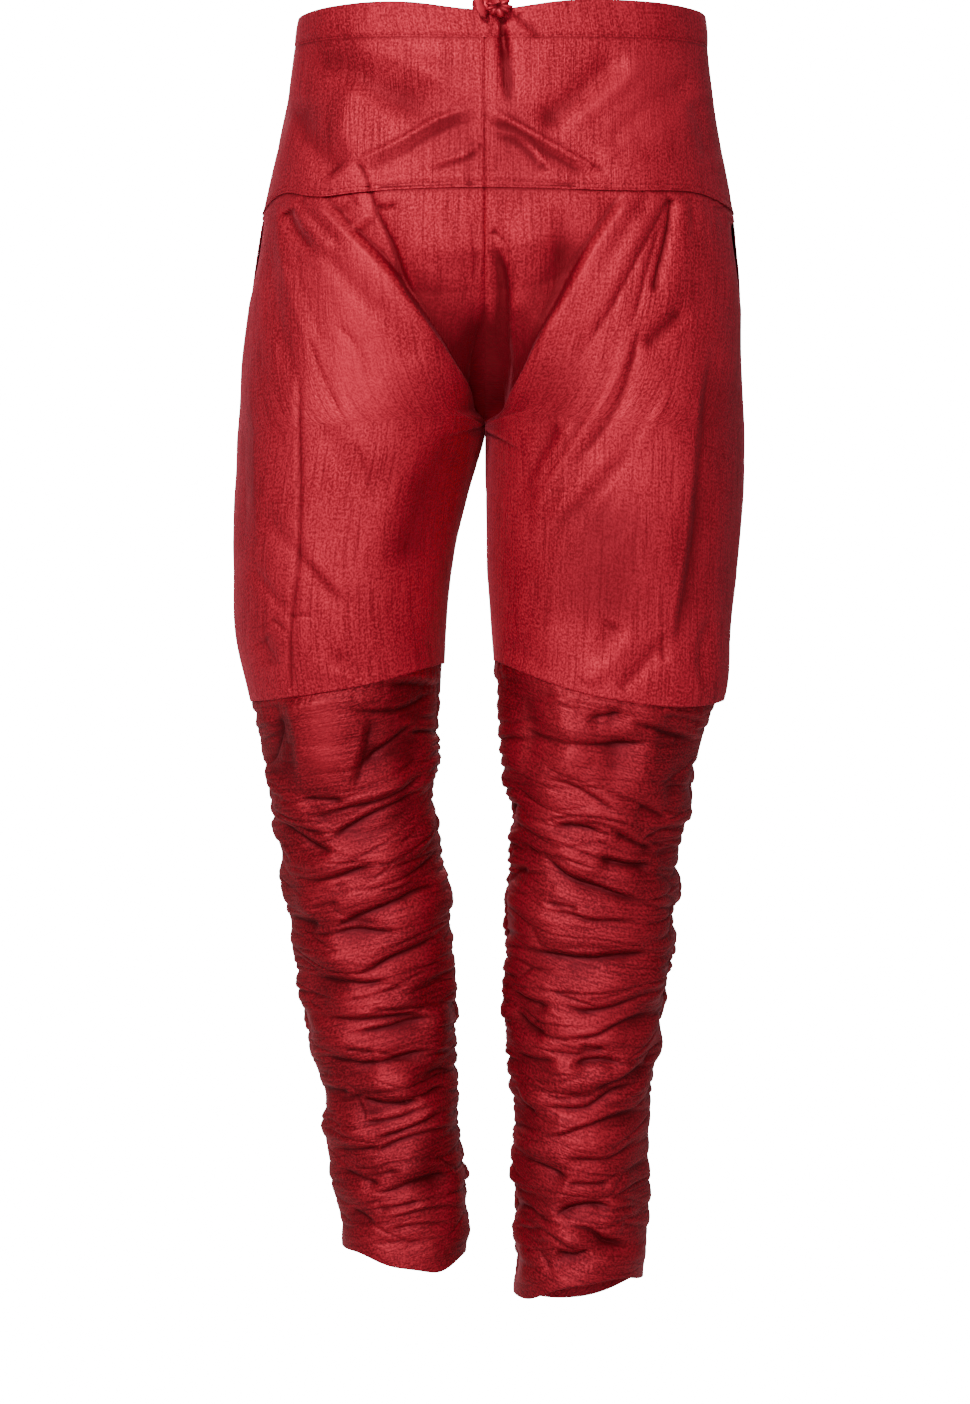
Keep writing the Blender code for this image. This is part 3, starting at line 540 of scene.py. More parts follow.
def scattered(at, seed):
    """A fixed number from 0 to 1 for each whole-numbered place."""
    mixed = np.bitwise_xor.reduce(at * PLACE_MIXERS, axis=-1) ^ seed * SEED_MIXER
    mixed = ((mixed ^ (mixed >> 13)) * LAST_MIXER) & 0xFFFFFFFF
    return ((mixed ^ (mixed >> 16)) & 0xFFFF) / 65535


def lattice_noise(points, cell, seed):
    """Smooth noise from -1 to 1 at places in space, with features about a cell across."""
    spots = points / cell
    base = np.floor(spots).astype(np.int64)
    part = eased(spots - base)
    total = np.zeros(points.shape[:-1])
    for corner in itertools.product((0, 1), repeat=3):
        value = scattered(base + corner, seed) * 2 - 1
        total += value * np.prod(np.where(corner, part, 1 - part), axis=-1)
    return total


def cell_edges(points, cell, seed):
    """How far places lie from the borders of scattered cells in space: 0 on one, about 1 amid a cell."""
    spots = points / cell
    base = np.floor(spots).astype(np.int64)
    first = np.full(points.shape[:-1], np.inf)
    second = first.copy()
    for offset in itertools.product((-1, 0, 1), repeat=3):
        at = base + offset
        away = 0
        for axis in range(3):
            away = away + (at[..., axis] + scattered(at, seed + axis) - spots[..., axis]) ** 2
        away = np.sqrt(away)
        second = np.minimum(second, np.maximum(first, away))
        first = np.minimum(first, away)
    return second - first


# Kinds of noise: how far it goes, the size of its features in metres, and its seed.
Noise = namedtuple("Noise", "depth cell seed")
BROAD = (Noise(0.0016, 0.060, 11), Noise(0.0006, 0.026, 12))
CRUMPLES = Noise(0.00035, 0.013, 14)
CRUMPLE_LINE = 0.10
CRUMPLE_STRETCH = (1.0, 1.0, 0.45)
CRUMPLE_PLACES = Noise(1.2, 0.05, 18)
CRUMPLE_MEAN = 0.6
LEG_WARP = Noise(0.42, 0.028, 21)
LEG_PATCHES = Noise(1.1, 0.034, 22)
LEG_TOP_GATHERS = Noise(0.0010, 0.014, 25)
LEG_UNEVEN = Noise(0.0018, 0.040, 26)
LEG_SLANT = Noise(0.005, 0.045, 27)
LEG_ROLLS = Noise(0.0046, 0.032, 28)


def noise_at(points, kind):
    return kind.depth * lattice_noise(points, kind.cell, kind.seed)


def lines_at(points, kind, line):
    """Thin lines where a smooth noise changes sign, with its depth on the line."""
    return kind.depth * np.exp(-np.abs(lattice_noise(points, kind.cell, kind.seed)) / line)


def silk(real):
    """Unevenness that any spread cloth has, the same for panels that meet."""
    places = np.clip(CRUMPLE_MEAN + noise_at(real, CRUMPLE_PLACES), 0, 1)
    crumples = places * lines_at(real * CRUMPLE_STRETCH, CRUMPLES, CRUMPLE_LINE)
    return sum(noise_at(real, kind) for kind in BROAD) - crumples


def seen(points, face):
    """Picture points of places on the cloth: as the camera has them in front, and straight through behind."""
    far = (points[..., 1] - CAMERA[1]) / -CAMERA[1] if face == "front" else 1.0
    across = PICTURE_MIDDLE[0] + points[..., 0] / far / METRES_A_POINT
    down = PICTURE_MIDDLE[1] - (points[..., 2] - CAMERA[2]) / far / METRES_A_POINT
    return np.stack([across, down], axis=-1)


# A crease's route has so many steps for each spot, and is drawn up to so many widths and points beside it.
ROUTE_STEPS = 6
CREASE_REACH = 3.2
CREASE_MARGIN = 4
# How round the lines of a sharp crease and of a tuck are, in points.
SHARP_ROUNDING = 0.8
TUCK_ROUNDING = 0.6
# Behind a lap's drop the cloth comes back to its level over so many times the width of the drop.
LAP_RECOVERY = 2.2
# Over a tuck's line the cloth hangs out: how far up and over what spread, in widths, and by what share.
TUCK_HANG = 3.2
TUCK_SPREAD = 2.2
TUCK_SHARE = 0.30


def crease_value(spots, crease):
    """How far a crease moves the cloth out at the given spots, in metres."""
    count = ROUTE_STEPS * len(crease.route)
    route = smooth_route(crease.route, count)
    reach = CREASE_REACH * max(crease.near, crease.far)
    if crease.kind == "lap":
        reach = max(CREASE_REACH * crease.near, (1 + 3 * LAP_RECOVERY) * crease.far)
    reach += CREASE_MARGIN
    value = np.zeros(spots.shape[:-1])
    close = np.all((spots > route.min(axis=0) - reach) & (spots < route.max(axis=0) + reach), axis=-1)
    local = spots[close]
    if not len(local):
        return value
    away = np.full(len(local), np.inf)
    signed = np.zeros(len(local))
    share = np.zeros(len(local))
    for index in range(count - 1):
        step = route[index + 1] - route[index]
        offset = local - route[index]
        t = np.clip(offset @ step / (step @ step), 0, 1)
        rest = offset - t[:, None] * step
        distance = np.hypot(rest[:, 0], rest[:, 1])
        nearer = distance < away
        turned = step[0] * offset[:, 1] - step[1] * offset[:, 0]
        away = np.where(nearer, distance, away)
        signed = np.where(nearer, np.sign(turned), signed)
        share = np.where(nearer, (index + t) / (count - 1), share)
    width = np.where(signed > 0, crease.near, crease.far)
    if crease.kind == "soft":
        profile = bell(away, width)
    elif crease.kind == "sharp":
        profile = pinched(away, width, SHARP_ROUNDING)
    elif crease.kind == "tuck":
        hang = TUCK_SHARE * bell(away / width - TUCK_HANG, TUCK_SPREAD)
        profile = pinched(away, width, TUCK_ROUNDING) - hang * (signed < 0)
    else:
        back = -np.exp(-(away - width) / (LAP_RECOVERY * width))
        behind = np.where(away < width, 1 - 2 * away / width, back)
        profile = np.where(signed > 0, bell(away, width), behind) * eased(2 - 2 * away / reach)
    fade = eased(share / max(crease.fade_in, 1e-3)) * eased((1 - share) / max(crease.fade_out, 1e-3))
    value[close] = crease.rise / 1000 * profile * fade
    return value


def all_creases(spots, creases):
    total = np.zeros(spots.shape[:-1])
    for crease in creases:
        total += crease_value(spots, crease)
    return total


def deepest(troughs):
    """Joins troughs so that where they cross they don't add up."""
    total = np.zeros(troughs[0].shape)
    for trough in troughs:
        total += np.maximum(-trough, 0) ** 3
    return -(total ** (1 / 3))


def centre_edge(side, face, height):
    """A half's places on the centre seam, or on its leg's inner seam."""
    start = closing(side, height)
    return ring_points(side, -start if face == "front" else math.pi + start, height)[0]


def centre_y(face, height):
    """The mean Y place of the two halves' edges on the centre seam."""
    return sum(centre_edge(side, face, height)[..., 1] for side in SIDES) / 2


GROOVE = 0.0010
GROOVE_WIDTH = 0.0010
ON_CENTRE = 0.0009


def seam_groove(side, face, points, turn):
    """The narrow dip along the seams at the two upright edges of a panel."""
    outer, _ = ring_points(side, np.full(turn.shape, math.pi / 2), points[..., 2])
    dip = 0
    for edge in (centre_edge(side, face, points[..., 2]), outer):
        dip = dip + GROOVE * bell(np.linalg.norm(points - edge, axis=-1), GROOVE_WIDTH)
    return -dip


def place(side, face, points, outward, relief):
    """Moves a panel's points out by its relief, closes the centre seam and turns X the right way."""
    moved = points + relief[..., None] * outward
    edge = 0 if face == "front" else -1
    above = points[:, edge, 0] < ON_CENTRE
    moved[above, edge, 1] += centre_y(face, points[above, edge, 2]) - points[above, edge, 1]
    moved[..., 0] = np.maximum(moved[..., 0], 0.0)
    moved[above, edge, 0] = 0.0
    moved[..., 0] *= SIGN[side]
    return moved


def lengths_along(points, axis):
    steps = np.linalg.norm(np.diff(points, axis=axis), axis=-1)
    pad = [(0, 0), (0, 0)]
    pad[axis] = (1, 0)
    return np.pad(np.cumsum(steps, axis=axis), pad)


def add_piece(name, mesh, painted_light_and_wear, finish, *nodes):
    """Adds a mesh with its wear and painted light as a piece of the garment that stands for the given nodes."""
    if painted_light_and_wear is not None:
        # The attribute holds painted shade and painted highlight, along with the lighter wear of ridges.
        wear_and_painted_light = mesh.attributes.new("wear_and_painted_light", "FLOAT", "POINT")
        wear_and_painted_light.data.foreach_set("value", painted_light_and_wear.reshape(-1).astype(np.float32))
    mesh.shade_smooth()
    material, slot = finish
    piece = bpy.data.objects.new(name, mesh)
    piece.data.materials.append(material)
    bpy.context.scene.collection.objects.link(piece)
    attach(piece, "root")
    if nodes:
        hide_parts(*nodes)
    return piece


# A panel's UVs start at the edge that lies this near the centre, and a thigh's in its middle.
NEAR_CENTRE = 0.05


def cloth_mesh(name, base, points):
    """A grid of cloth with UVs in metres of cloth, from its smooth base and its final points."""
    rows, columns = points.shape[:2]
    index = np.arange(rows * columns).reshape(rows, columns)
    faces = np.stack([index[:-1, :-1], index[1:, :-1], index[1:, 1:], index[:-1, 1:]], axis=-1).reshape(-1)
    mesh = bpy.data.meshes.new(name)
    mesh.vertices.add(rows * columns)
    mesh.vertices.foreach_set("co", points.reshape(-1).astype(np.float32))
    mesh.loops.add(faces.size)
    mesh.loops.foreach_set("vertex_index", faces.astype(np.int32))
    mesh.polygons.add(faces.size // 4)
    mesh.polygons.foreach_set("loop_start", np.arange(0, faces.size, 4, dtype=np.int32))
    mesh.update(calc_edges=True)
    mesh.validate()
    across = lengths_along(base, 1)
    start = columns // 2 if "thigh" in name else 0 if np.abs(base[:, 0, 0]).mean() < NEAR_CENTRE else -1
    across = across - across[:, start][:, None]
    cloth = np.stack([across, lengths_along(base, 0)], axis=-1).reshape(-1, 2)
    layer = mesh.uv_layers.new(name="cloth")
    layer.data.foreach_set("uv", cloth[faces].reshape(-1).astype(np.float32))
    return mesh


def add_sheet(node, grids, reverse, finish):
    base, points, painted_light_and_wear = (grid[:, ::-1] if reverse else grid for grid in grids)
    name = "cloth_" + node
    piece = add_piece(name, cloth_mesh(name, base, points), painted_light_and_wear, finish, node)


# Where a hollow begins to get painted shade, and how much deeper the painted shade is darkest.
HOLLOW_START = -0.0015
HOLLOW_DEPTH = 0.0055
# The most painted light, painted shade and wear that a point gets.
MOST_PAINTED_LIGHT_AND_WEAR = 1.6
WEAR_AND_SHADE_REACH = 3


def shifted(grid, steps, axis):
    """A grid moved by some steps along one axis, with its edge repeated."""
    index = np.clip(np.arange(grid.shape[axis]) + steps, 0, grid.shape[axis] - 1)
    return np.take(grid, index, axis=axis)


def local_height(relief):
    """How far each point stands over the cloth around it, in millimetres, and less in deep hollows: it paints
    ridges lighter, as wear and painted sheen, and troughs and hollows darker, as painted shade.
    """
    mean = sum(shifted(relief, steps, axis) for steps in (-WEAR_AND_SHADE_REACH, WEAR_AND_SHADE_REACH) for axis in (0, 1)) / 4
    hollow = np.clip((relief - HOLLOW_START) / HOLLOW_DEPTH, -1, 0)
    return np.clip((relief - mean) * 1000 + hollow, -MOST_PAINTED_LIGHT_AND_WEAR, 1)


def turned_under(grid, outward, moves):
    """Adds rows that turn the last edge under. Each move is how far in and how far back along the cloth."""
    back = unit(grid[-2] - grid[-1])
    rows = [grid[-1] - inward * outward[-1] + along * back for inward, along in moves]
    return np.concatenate([grid, np.array(rows)])


def padded_rows(grid, count):
    return np.concatenate([grid, np.repeat(grid[-1:], count, axis=0)])


FOLDED_EDGE = [(0.0003, -0.0002), (0.0007, -0.0001), (0.0011, 0.0012)]
POCKET_EDGE = [(0.0004, -0.0003), (0.0009, -0.0003), (0.0013, 0.0004), (0.0016, 0.0050)]
HEM_EDGE = [(0.0003, -0.0004), (0.0009, -0.0006), (0.0015, -0.0003), (0.0019, 0.0010)]
HEM_EDGE += [(0.0021, 0.0050), (0.0021, 0.0120)]

# Over what part of the turn towards the outer side the picture's folds and shades fade out on the fronts.
FOLD_REACH = 0.15
SHADE_REACH = 0.5


def towards(turn, reach):
    """1 where the cloth looks to the front or the back, and down to 0 where it looks to the side."""
    return eased(np.abs(np.cos(turn)) / reach)


# Puffs hang a little, so what stands out on a leg also lies lower, by this share.
PUFF_HANG = 0.25
SURFACES = {}


def add_panel(panel, side, face, finish):
    look = PANELS[panel]
    base, outward, turn = panel_base(panel, side, face, *look.sizes[face])
    relief = look.relief(side, face, base, turn)
    points = place(side, face, base, outward, relief)
    if panel == "lower_leg":
        points[..., 2] -= PUFF_HANG * relief
    flip = (SIGN[side], 1, 1)
    base = base * flip
    outward = outward * flip
    # Painted highlight on ridges and painted shade in troughs and hollows, with the lighter wear of ridges.
    painted_light_and_wear = local_height(relief)
    # Painted shade and painted light from the table, on the fronts.
    if face == "front":
        shade = all_creases(seen(base, face), PAINTED_SHADE_AND_LIGHT) * towards(turn, SHADE_REACH)
        painted_light_and_wear = np.clip(painted_light_and_wear - shade, -MOST_PAINTED_LIGHT_AND_WEAR, MOST_PAINTED_LIGHT_AND_WEAR)
    # Painted shadow under the lip of the top seam.
    if look.shade:
        depth, spread = look.shade
        seam = around(BAND_FOOT, turn) if panel == "yoke" else yoke_seam(side, turn)
        painted_light_and_wear = painted_light_and_wear - depth * fading(seam - base[..., 2], spread)
    name = f"{panel}_{face}_{side}"
    SURFACES[name] = points
    edges = [(0, look.edge)]
    if panel == "thigh" and face == "front":
        edges.append((1, POCKET_EDGE))
    for axis, moves in edges:
        base, points, painted_light_and_wear, outward = (np.swapaxes(grid, 0, axis) for grid in (base, points, painted_light_and_wear, outward))
        base = turned_under(base, outward, moves)
        points = turned_under(points, outward, moves)
        painted_light_and_wear = padded_rows(painted_light_and_wear, len(moves))
        outward = padded_rows(outward, len(moves))
        base, points, painted_light_and_wear, outward = (np.swapaxes(grid, 0, axis) for grid in (base, points, painted_light_and_wear, outward))
    reverse = (side == "left") == (face == "front")
    add_sheet(name, (base, points, painted_light_and_wear), reverse, finish)


# The cloth's lip over the yoke seam, and rows of stitches, by their distances from an edge.
LIP = 0.0011
LIP_SPREAD = 0.006
ROW_DIP = 0.0006
ROW_WIDTH = 0.0009
YOKE_ROWS = (0.0018, 0.0050)
BAND_ROW = 0.0016
HEM_ROW = 0.010


def stitched(away, rows):
    """The dip of the cloth along rows of stitches at the given distances from an edge."""
    return ROW_DIP * sum(bell(away - row, ROW_WIDTH) for row in rows)


def yoke_shape(side, face, points, turn):
    real = points * (SIGN[side], 1, 1)
    relief = silk(real)
    if face == "front":
        relief = relief + all_creases(seen(real, face), YOKE_CREASES) * towards(turn, FOLD_REACH)
    return relief


def yoke_relief(side, face, points, turn):
    over_seam = points[..., 2] - yoke_seam(side, turn)
    lip = LIP * np.exp(-over_seam / LIP_SPREAD) - stitched(over_seam, YOKE_ROWS)
    return yoke_shape(side, face, points, turn) + lip + seam_groove(side, face, points, turn)


# Pockets, as in the solids: between the two heights the front edge dips in by this much.
Pocket = namedtuple("Pocket", "top foot dip")
POCKETS = {"left": Pocket(-0.148, -0.212, 0.0035), "right": Pocket(-0.150, -0.216, 0.0055)}
POCKET_SPREAD = math.radians(14)


def pocket_dip(side, turn, height):
    pocket = POCKETS[side]
    t = np.clip((pocket.top - height) / (pocket.top - pocket.foot), 0, 1)
    return pocket.dip * np.sin(math.pi * np.sqrt(t)) * bell(math.pi / 2 - turn, POCKET_SPREAD)


# Folds of a thigh fade in and out over so much of it at both seams, and troughs only down to these shares.
THIGH_FADE = 0.012
TROUGH_AT_TOP = 0.6
TROUGH_AT_KNEE = 0.3
# How far in a thigh's top lies, and over what length it comes out.
THIGH_SINK = 0.0009
THIGH_SINK_SPREAD = 0.004
# How far a thigh's foot flares all round and at its outer side, and over what height.
KNEE_FLARE = 0.0008
KNEE_PUFF = {"left": 0.0008, "right": 0.0055}
PUFF_HEIGHT = 0.040


def thigh_relief(side, face, points, turn):
    real = points * (SIGN[side], 1, 1)
    creases = THIGH_CREASES if face == "front" else BACK_CREASES
    folds = all_creases(seen(real, face), creases) * towards(turn, FOLD_REACH)
    under_yoke = yoke_seam(side, turn) - points[..., 2]
    over_knee = points[..., 2] - knee_seam(side, turn)
    start = eased(under_yoke / THIGH_FADE)
    finish = eased(over_knee / THIGH_FADE)
    start_in = TROUGH_AT_TOP + (1 - TROUGH_AT_TOP) * start
    finish_in = TROUGH_AT_KNEE + (1 - TROUGH_AT_KNEE) * finish
    folds = folds * np.where(folds > 0, start * finish, start_in * finish_in)
    relief = silk(real) - THIGH_SINK * fading(under_yoke, THIGH_SINK_SPREAD)
    relief = relief + KNEE_PUFF[side] * bell(over_knee, PUFF_HEIGHT) * eased(np.sin(turn)) ** 2 + KNEE_FLARE
    if face == "front":
        relief = relief - pocket_dip(side, turn, points[..., 2])
    else:
        folds = folds * eased((under_yoke + THIGH_TOP[face]) / THIGH_TOP[face])
    return folds + relief + seam_groove(side, face, points, turn)


def leg_levels(side, turn):
    """Distances of a leg's seam, troughs and hem below its knee seam, in millimetres."""
    levels = [around(Level(g.front, g.outer, g.back, g.inner), turn) for g in GATHERS[side]]
    hem = (knee_seam(side, turn) - hem_edge(side, turn)) * 1000
    return np.array([np.zeros(turn.shape), *levels, hem])


def leg_flow(side, turn, height):
    """How many troughs lie above each point of a leg, in smooth steps."""
    below = (knee_seam(side, turn) - height) * 1000
    levels = leg_levels(side, turn[0])
    flow = np.zeros(height.shape)
    for across in range(height.shape[1]):
        marks = levels[:, across]
        flow[:, across] = np.interp(below[:, across], marks, np.arange(len(marks)))
    return flow


# A trough's lower side is wide and its upper side, under a hanging puff, is steep. Widths are shares of the
# way from one trough to the next.
TROUGH_ROUNDING = 0.04
LONG_TROUGH = (0.26, 0.10)
SHORT_TROUGH = (0.20, 0.08)


def trough(away, lower, upper):
    """A pinched trough: away is positive below its line."""
    return pinched(away, np.where(away > 0, lower, upper), TROUGH_ROUNDING)


# Short creases from the seams: the first and last place and the way on to the next, in troughs, and the
# ranges of their lengths, slopes, bends and depths. Each is at its full depth a quarter of its length away
# from the seam.
SHORT_FIRST = 0.8
SHORT_LAST = 0.6
SHORT_PITCHES = (0.35, 1.15)
SHORT_LENGTHS = (0.018, 0.075)
SHORT_SLOPES = (-5.0, 5.0)
SHORT_BENDS = (-60, 60)
SHORT_DEPTHS = (0.0008, 0.0036)
SHORT_RISE = 4


def seam_creases(from_seam, flow, levels, seed, start):
    """Short seeded creases that run from a seam into the leg and taper out: start is their share at it."""
    draw = random.Random(seed)
    made = []
    at = SHORT_FIRST
    while at < levels - SHORT_LAST:
        length = draw.uniform(*SHORT_LENGTHS)
        slope = draw.uniform(*SHORT_SLOPES)
        bend = draw.uniform(*SHORT_BENDS)
        depth = draw.uniform(*SHORT_DEPTHS)
        share = from_seam / length
        away = flow - at - slope * from_seam - bend * from_seam**2
        taper = np.clip(1 - share**2, 0, 1) * (start + (1 - start) * np.clip(share * SHORT_RISE, 0, 1))
        made.append(-depth * taper * trough(away, *SHORT_TROUGH))
        at += draw.uniform(*SHORT_PITCHES)
    return deepest(made)


# The main troughs are made this much deeper than listed, and are wider the deeper they are.
HAND_DEPTH = 1.35
HAND_LOWER = (5, 1.5)
HAND_UPPER = (1.6, 0.60)


def hand_troughs(spots, side):
    """The main troughs listed for a ruched front, and how far the cloth hangs out over them."""
    made = []
    for depth, path in LEG_TROUGHS[side]:
        depth *= HAND_DEPTH
        near = HAND_LOWER[0] + HAND_LOWER[1] * depth
        far = HAND_UPPER[0] + HAND_UPPER[1] * depth
        made.append(crease_value(spots, tuck(-depth, near, far, path, 0.3)))
    return deepest(made), np.max(np.maximum(made, 0), axis=0)


# How deep the long troughs are, as shares, in the middle of a panel and at its inner and outer seams.
MIDDLE_SHARE = {"front": 0.30, "back": 0.75}
INNER_SHARE = 0.60
OUTER_SHARE = 0.32
SEAM_REACH = 0.032
# How much of the small folds the top of each leg has, and after and within how many troughs it has all.
CALM = {"left": 0.15, "right": 0.40}
CALM_TROUGHS = (2.0, 4.0)
# Small folds lie along the borders of flat cells: a cell's size, seed and border, and the depth.
FLOW_PITCH = 0.0165
CELL_FLATNESS = 0.17
CELLS = ((0.0165, 23, 0.09, 0.0022), (0.0070, 24, 0.12, 0.0006))
PLAIN_SHARE = 0.8
PLAIN_REACH = 0.014
# The troughs wander less near the seams, and their depth changes in patches about a mean, up to a most.
WARP_LESS = 0.2
WARP_REACH = 0.022
PATCH_STRETCH = (1.0, 1.0, 1.6)
PATCH_MEAN = 0.60
PATCH_MOST = 1.2
ROLL_STRETCH = 1.5
# The short creases' seeds, and their shares at the seam.
INNER_SHORTS = (31, 0.5)
OUTER_SHORTS = (32, 0.12)
# The cloth rises between troughs, puckers at the inner seam and is gathered finely under the knee.
PUFF_RISE = 0.0015
PUFF_ROUNDNESS = 0.6
PUCKER = 0.0005
PUCKER_REACH = 0.009
PUCKERS_A_TROUGH = 2.3
PUCKER_SWAY = 9
GATHERED_STRETCH = (3.2, 3.2, 0.5)
GATHERED_LINE = 0.25
GATHERED_REACH = 0.022
# Over what lengths the folds fade at the knee, down to a share, and over the hem's plain edge.
KNEE_FADE = 0.010
KNEE_SHARE = 0.35
HEM_PLAIN = 0.004
HEM_FADE = 0.016
# How far the leg lies in all round, and out at its outer side, under the knee, and its seams are drawn in.
LEG_SINK = 0.0008
LEG_SINK_SPREAD = 0.006
KNEE_OVER = 0.0012
KNEE_OVER_SPREAD = 0.030
DRAWN_IN = 0.0016
DRAWN_WIDTH = 0.005
DRAWN_FADE = 0.025
# Over what length under the knee the leg keeps the thigh's unevenness.
JOINED = 0.012


def leg_relief(side, face, points, turn):
    real = points * (SIGN[side], 1, 1)
    under_knee = knee_seam(side, turn) - points[..., 2]
    over_hem = points[..., 2] - hem_edge(side, turn)
    flow = leg_flow(side, turn, points[..., 2])
    levels = len(GATHERS[side]) + 1
    along = lengths_along(points, 1)
    across = along[:, -1:] - along
    from_inner, from_outer = (along, across) if face == "front" else (across, along)
    from_seam = np.minimum(from_inner, from_outer)
    warp = noise_at(real, LEG_WARP) * (1 - WARP_LESS * bell(from_seam, WARP_REACH))
    index = flow + warp
    depths = np.array([0.0, *[gather.depth for gather in GATHERS[side]], 0.0]) / 1000
    nearest = np.clip(np.round(index), 0, levels).astype(int)
    middle = MIDDLE_SHARE[face]
    strength = middle + (INNER_SHARE - middle) * bell(from_inner, SEAM_REACH)
    strength = strength + (OUTER_SHARE - middle) * bell(from_outer, SEAM_REACH)
    patches = np.clip(PATCH_MEAN + noise_at(real * PATCH_STRETCH, LEG_PATCHES), 0.0, PATCH_MOST)
    calm = CALM[side] + (1 - CALM[side]) * eased((index - CALM_TROUGHS[0]) / CALM_TROUGHS[1])
    parts = [-depths[nearest] * strength * patches * calm * trough(index - nearest, *LONG_TROUGH)]
    slanted = flow * FLOW_PITCH + noise_at(real, LEG_SLANT)
    flat = np.stack([real[..., 0] * CELL_FLATNESS, real[..., 1] * CELL_FLATNESS, slanted], axis=-1)
    plain = 1 - PLAIN_SHARE * bell(from_outer, PLAIN_REACH)
    for cell, seed, border, depth in CELLS:
        parts.append(-np.exp(-cell_edges(flat, cell, seed) / border) * depth * calm * plain)
    parts.append(seam_creases(from_inner, flow, levels, *INNER_SHORTS))
    parts.append(seam_creases(from_outer, flow, levels, *OUTER_SHORTS))
    hang = 0.0
    if face == "front":
        tucks, hang = hand_troughs(seen(real, face), side)
        parts.append(tucks)
    rise = PUFF_RISE * np.sin(math.pi * (index - np.floor(index))) ** PUFF_ROUNDNESS * strength
    pucker = PUCKER * np.sin(math.tau * flow * PUCKERS_A_TROUGH + PUCKER_SWAY * warp)
    pucker = pucker * fading(from_inner, PUCKER_REACH)
    rolled = np.stack([real[..., 0], real[..., 1], slanted * ROLL_STRETCH], axis=-1)
    rolls = calm * noise_at(rolled, LEG_ROLLS)
    drawn_in = DRAWN_IN * bell(from_seam, DRAWN_WIDTH) * eased(under_knee / DRAWN_FADE)
    top = eased(under_knee / KNEE_FADE)
    ends = eased((over_hem - HEM_PLAIN) / HEM_FADE) * (KNEE_SHARE + (1 - KNEE_SHARE) * top)
    shape = (deepest(parts) + hang + rise + pucker + rolls - drawn_in) * ends
    joined = fading(under_knee, JOINED)
    shape = shape + joined * silk(real) + (1 - joined) * noise_at(real, LEG_UNEVEN)
    if face == "front":
        shape = shape + all_creases(seen(real, face), LEG_FOLDS[side]) * top
    lines = lines_at(real * GATHERED_STRETCH, LEG_TOP_GATHERS, GATHERED_LINE)
    shape = shape - lines * np.exp(-under_knee / GATHERED_REACH)
    shape = shape - LEG_SINK * fading(under_knee, LEG_SINK_SPREAD)
    shape = shape + KNEE_OVER * eased(np.sin(turn)) ** 2 * fading(under_knee, KNEE_OVER_SPREAD)
    return shape + seam_groove(side, face, points, turn)


# Each kind of panel: its relief, the fold of its foot, how it is held, how much painted shade it has under its
# top seam and over what height, and the rows and columns and the flat sizes of its front and its back.
Panel = namedtuple("Panel", "relief edge held shade sizes flats")
FLAT_YOKES = {"front": (0.20, 0.13), "back": (0.20, 0.13)}
FLAT_THIGHS = {"front": (0.27, 0.40), "back": (0.27, 0.38)}
FLAT_LEGS = {"front": (0.19, 0.60), "back": (0.19, 0.60)}
YOKE_SIZES = {"front": (110, 150), "back": (60, 80)}
THIGH_SIZES = {"front": (340, 190), "back": (200, 100)}
LEG_SIZES = {"front": (440, 170), "back": (300, 110)}
PANELS = {
    "yoke": Panel(yoke_relief, FOLDED_EDGE, "draped", (1.6, 0.0014), YOKE_SIZES, FLAT_YOKES),
    "thigh": Panel(thigh_relief, FOLDED_EDGE, "draped", (2.0, 0.0018), THIGH_SIZES, FLAT_THIGHS),
    "lower_leg": Panel(leg_relief, HEM_EDGE, "gathered", None, LEG_SIZES, FLAT_LEGS),
}

# The waistband: its casing's thickness, and how far it swells over its height between its edges.
CASING = 0.0024
BAND_SWELL = 0.0007
BAND_HEIGHT = 0.024
BAND_SIZES = {"front": (26, 150), "back": (16, 80)}
# It has a groove at its side seams alone, from this turn on.
BAND_GROOVE_FROM = 1
ROLL_STEPS = 7
# How much lighter the rolled top edge of the casing is drawn.
ROLL_LIGHTNESS = 0.6


def half_band(side, face, rows, columns):
    """Half of the waistband's front or back: base, final points, outward directions, relief and shade."""
    share = np.linspace(0, 1, columns + 1)
    turn = share * math.pi / 2 if face == "front" else math.pi - share * math.pi / 2
    turn = np.repeat(turn[None, :], rows + 1, axis=0)
    foot = around(BAND_FOOT, turn)
    top = around(WAIST_TOP[side], turn)
    if face == "front":
        across, _ = ring_points(side, turn, top)
        top = top - KNOT_DIP * bell(across[..., 0], KNOT_DIP_WIDTH)
    height = top + (foot - top) * np.linspace(0, 1, rows + 1)[:, None]
    base, outward = ring_points(side, turn, height)
    relief = yoke_shape(side, face, base, turn) - stitched(height - foot, (BAND_ROW,))
    relief = relief + seam_groove(side, face, base, turn) * (turn > BAND_GROOVE_FROM)
    relief = relief + BAND_SWELL * np.sin(math.pi * np.clip((height - foot) / BAND_HEIGHT, 0, 1))
    flip = (SIGN[side], 1, 1)
    points = (base + relief[..., None] * outward) * flip
    # Painted shade and painted light of the band's front, from the same table as the panels.
    shade = all_creases(seen(base * flip, face), PAINTED_SHADE_AND_LIGHT) if face == "front" else 0 * relief
    return base * flip, points, outward * flip, relief, shade


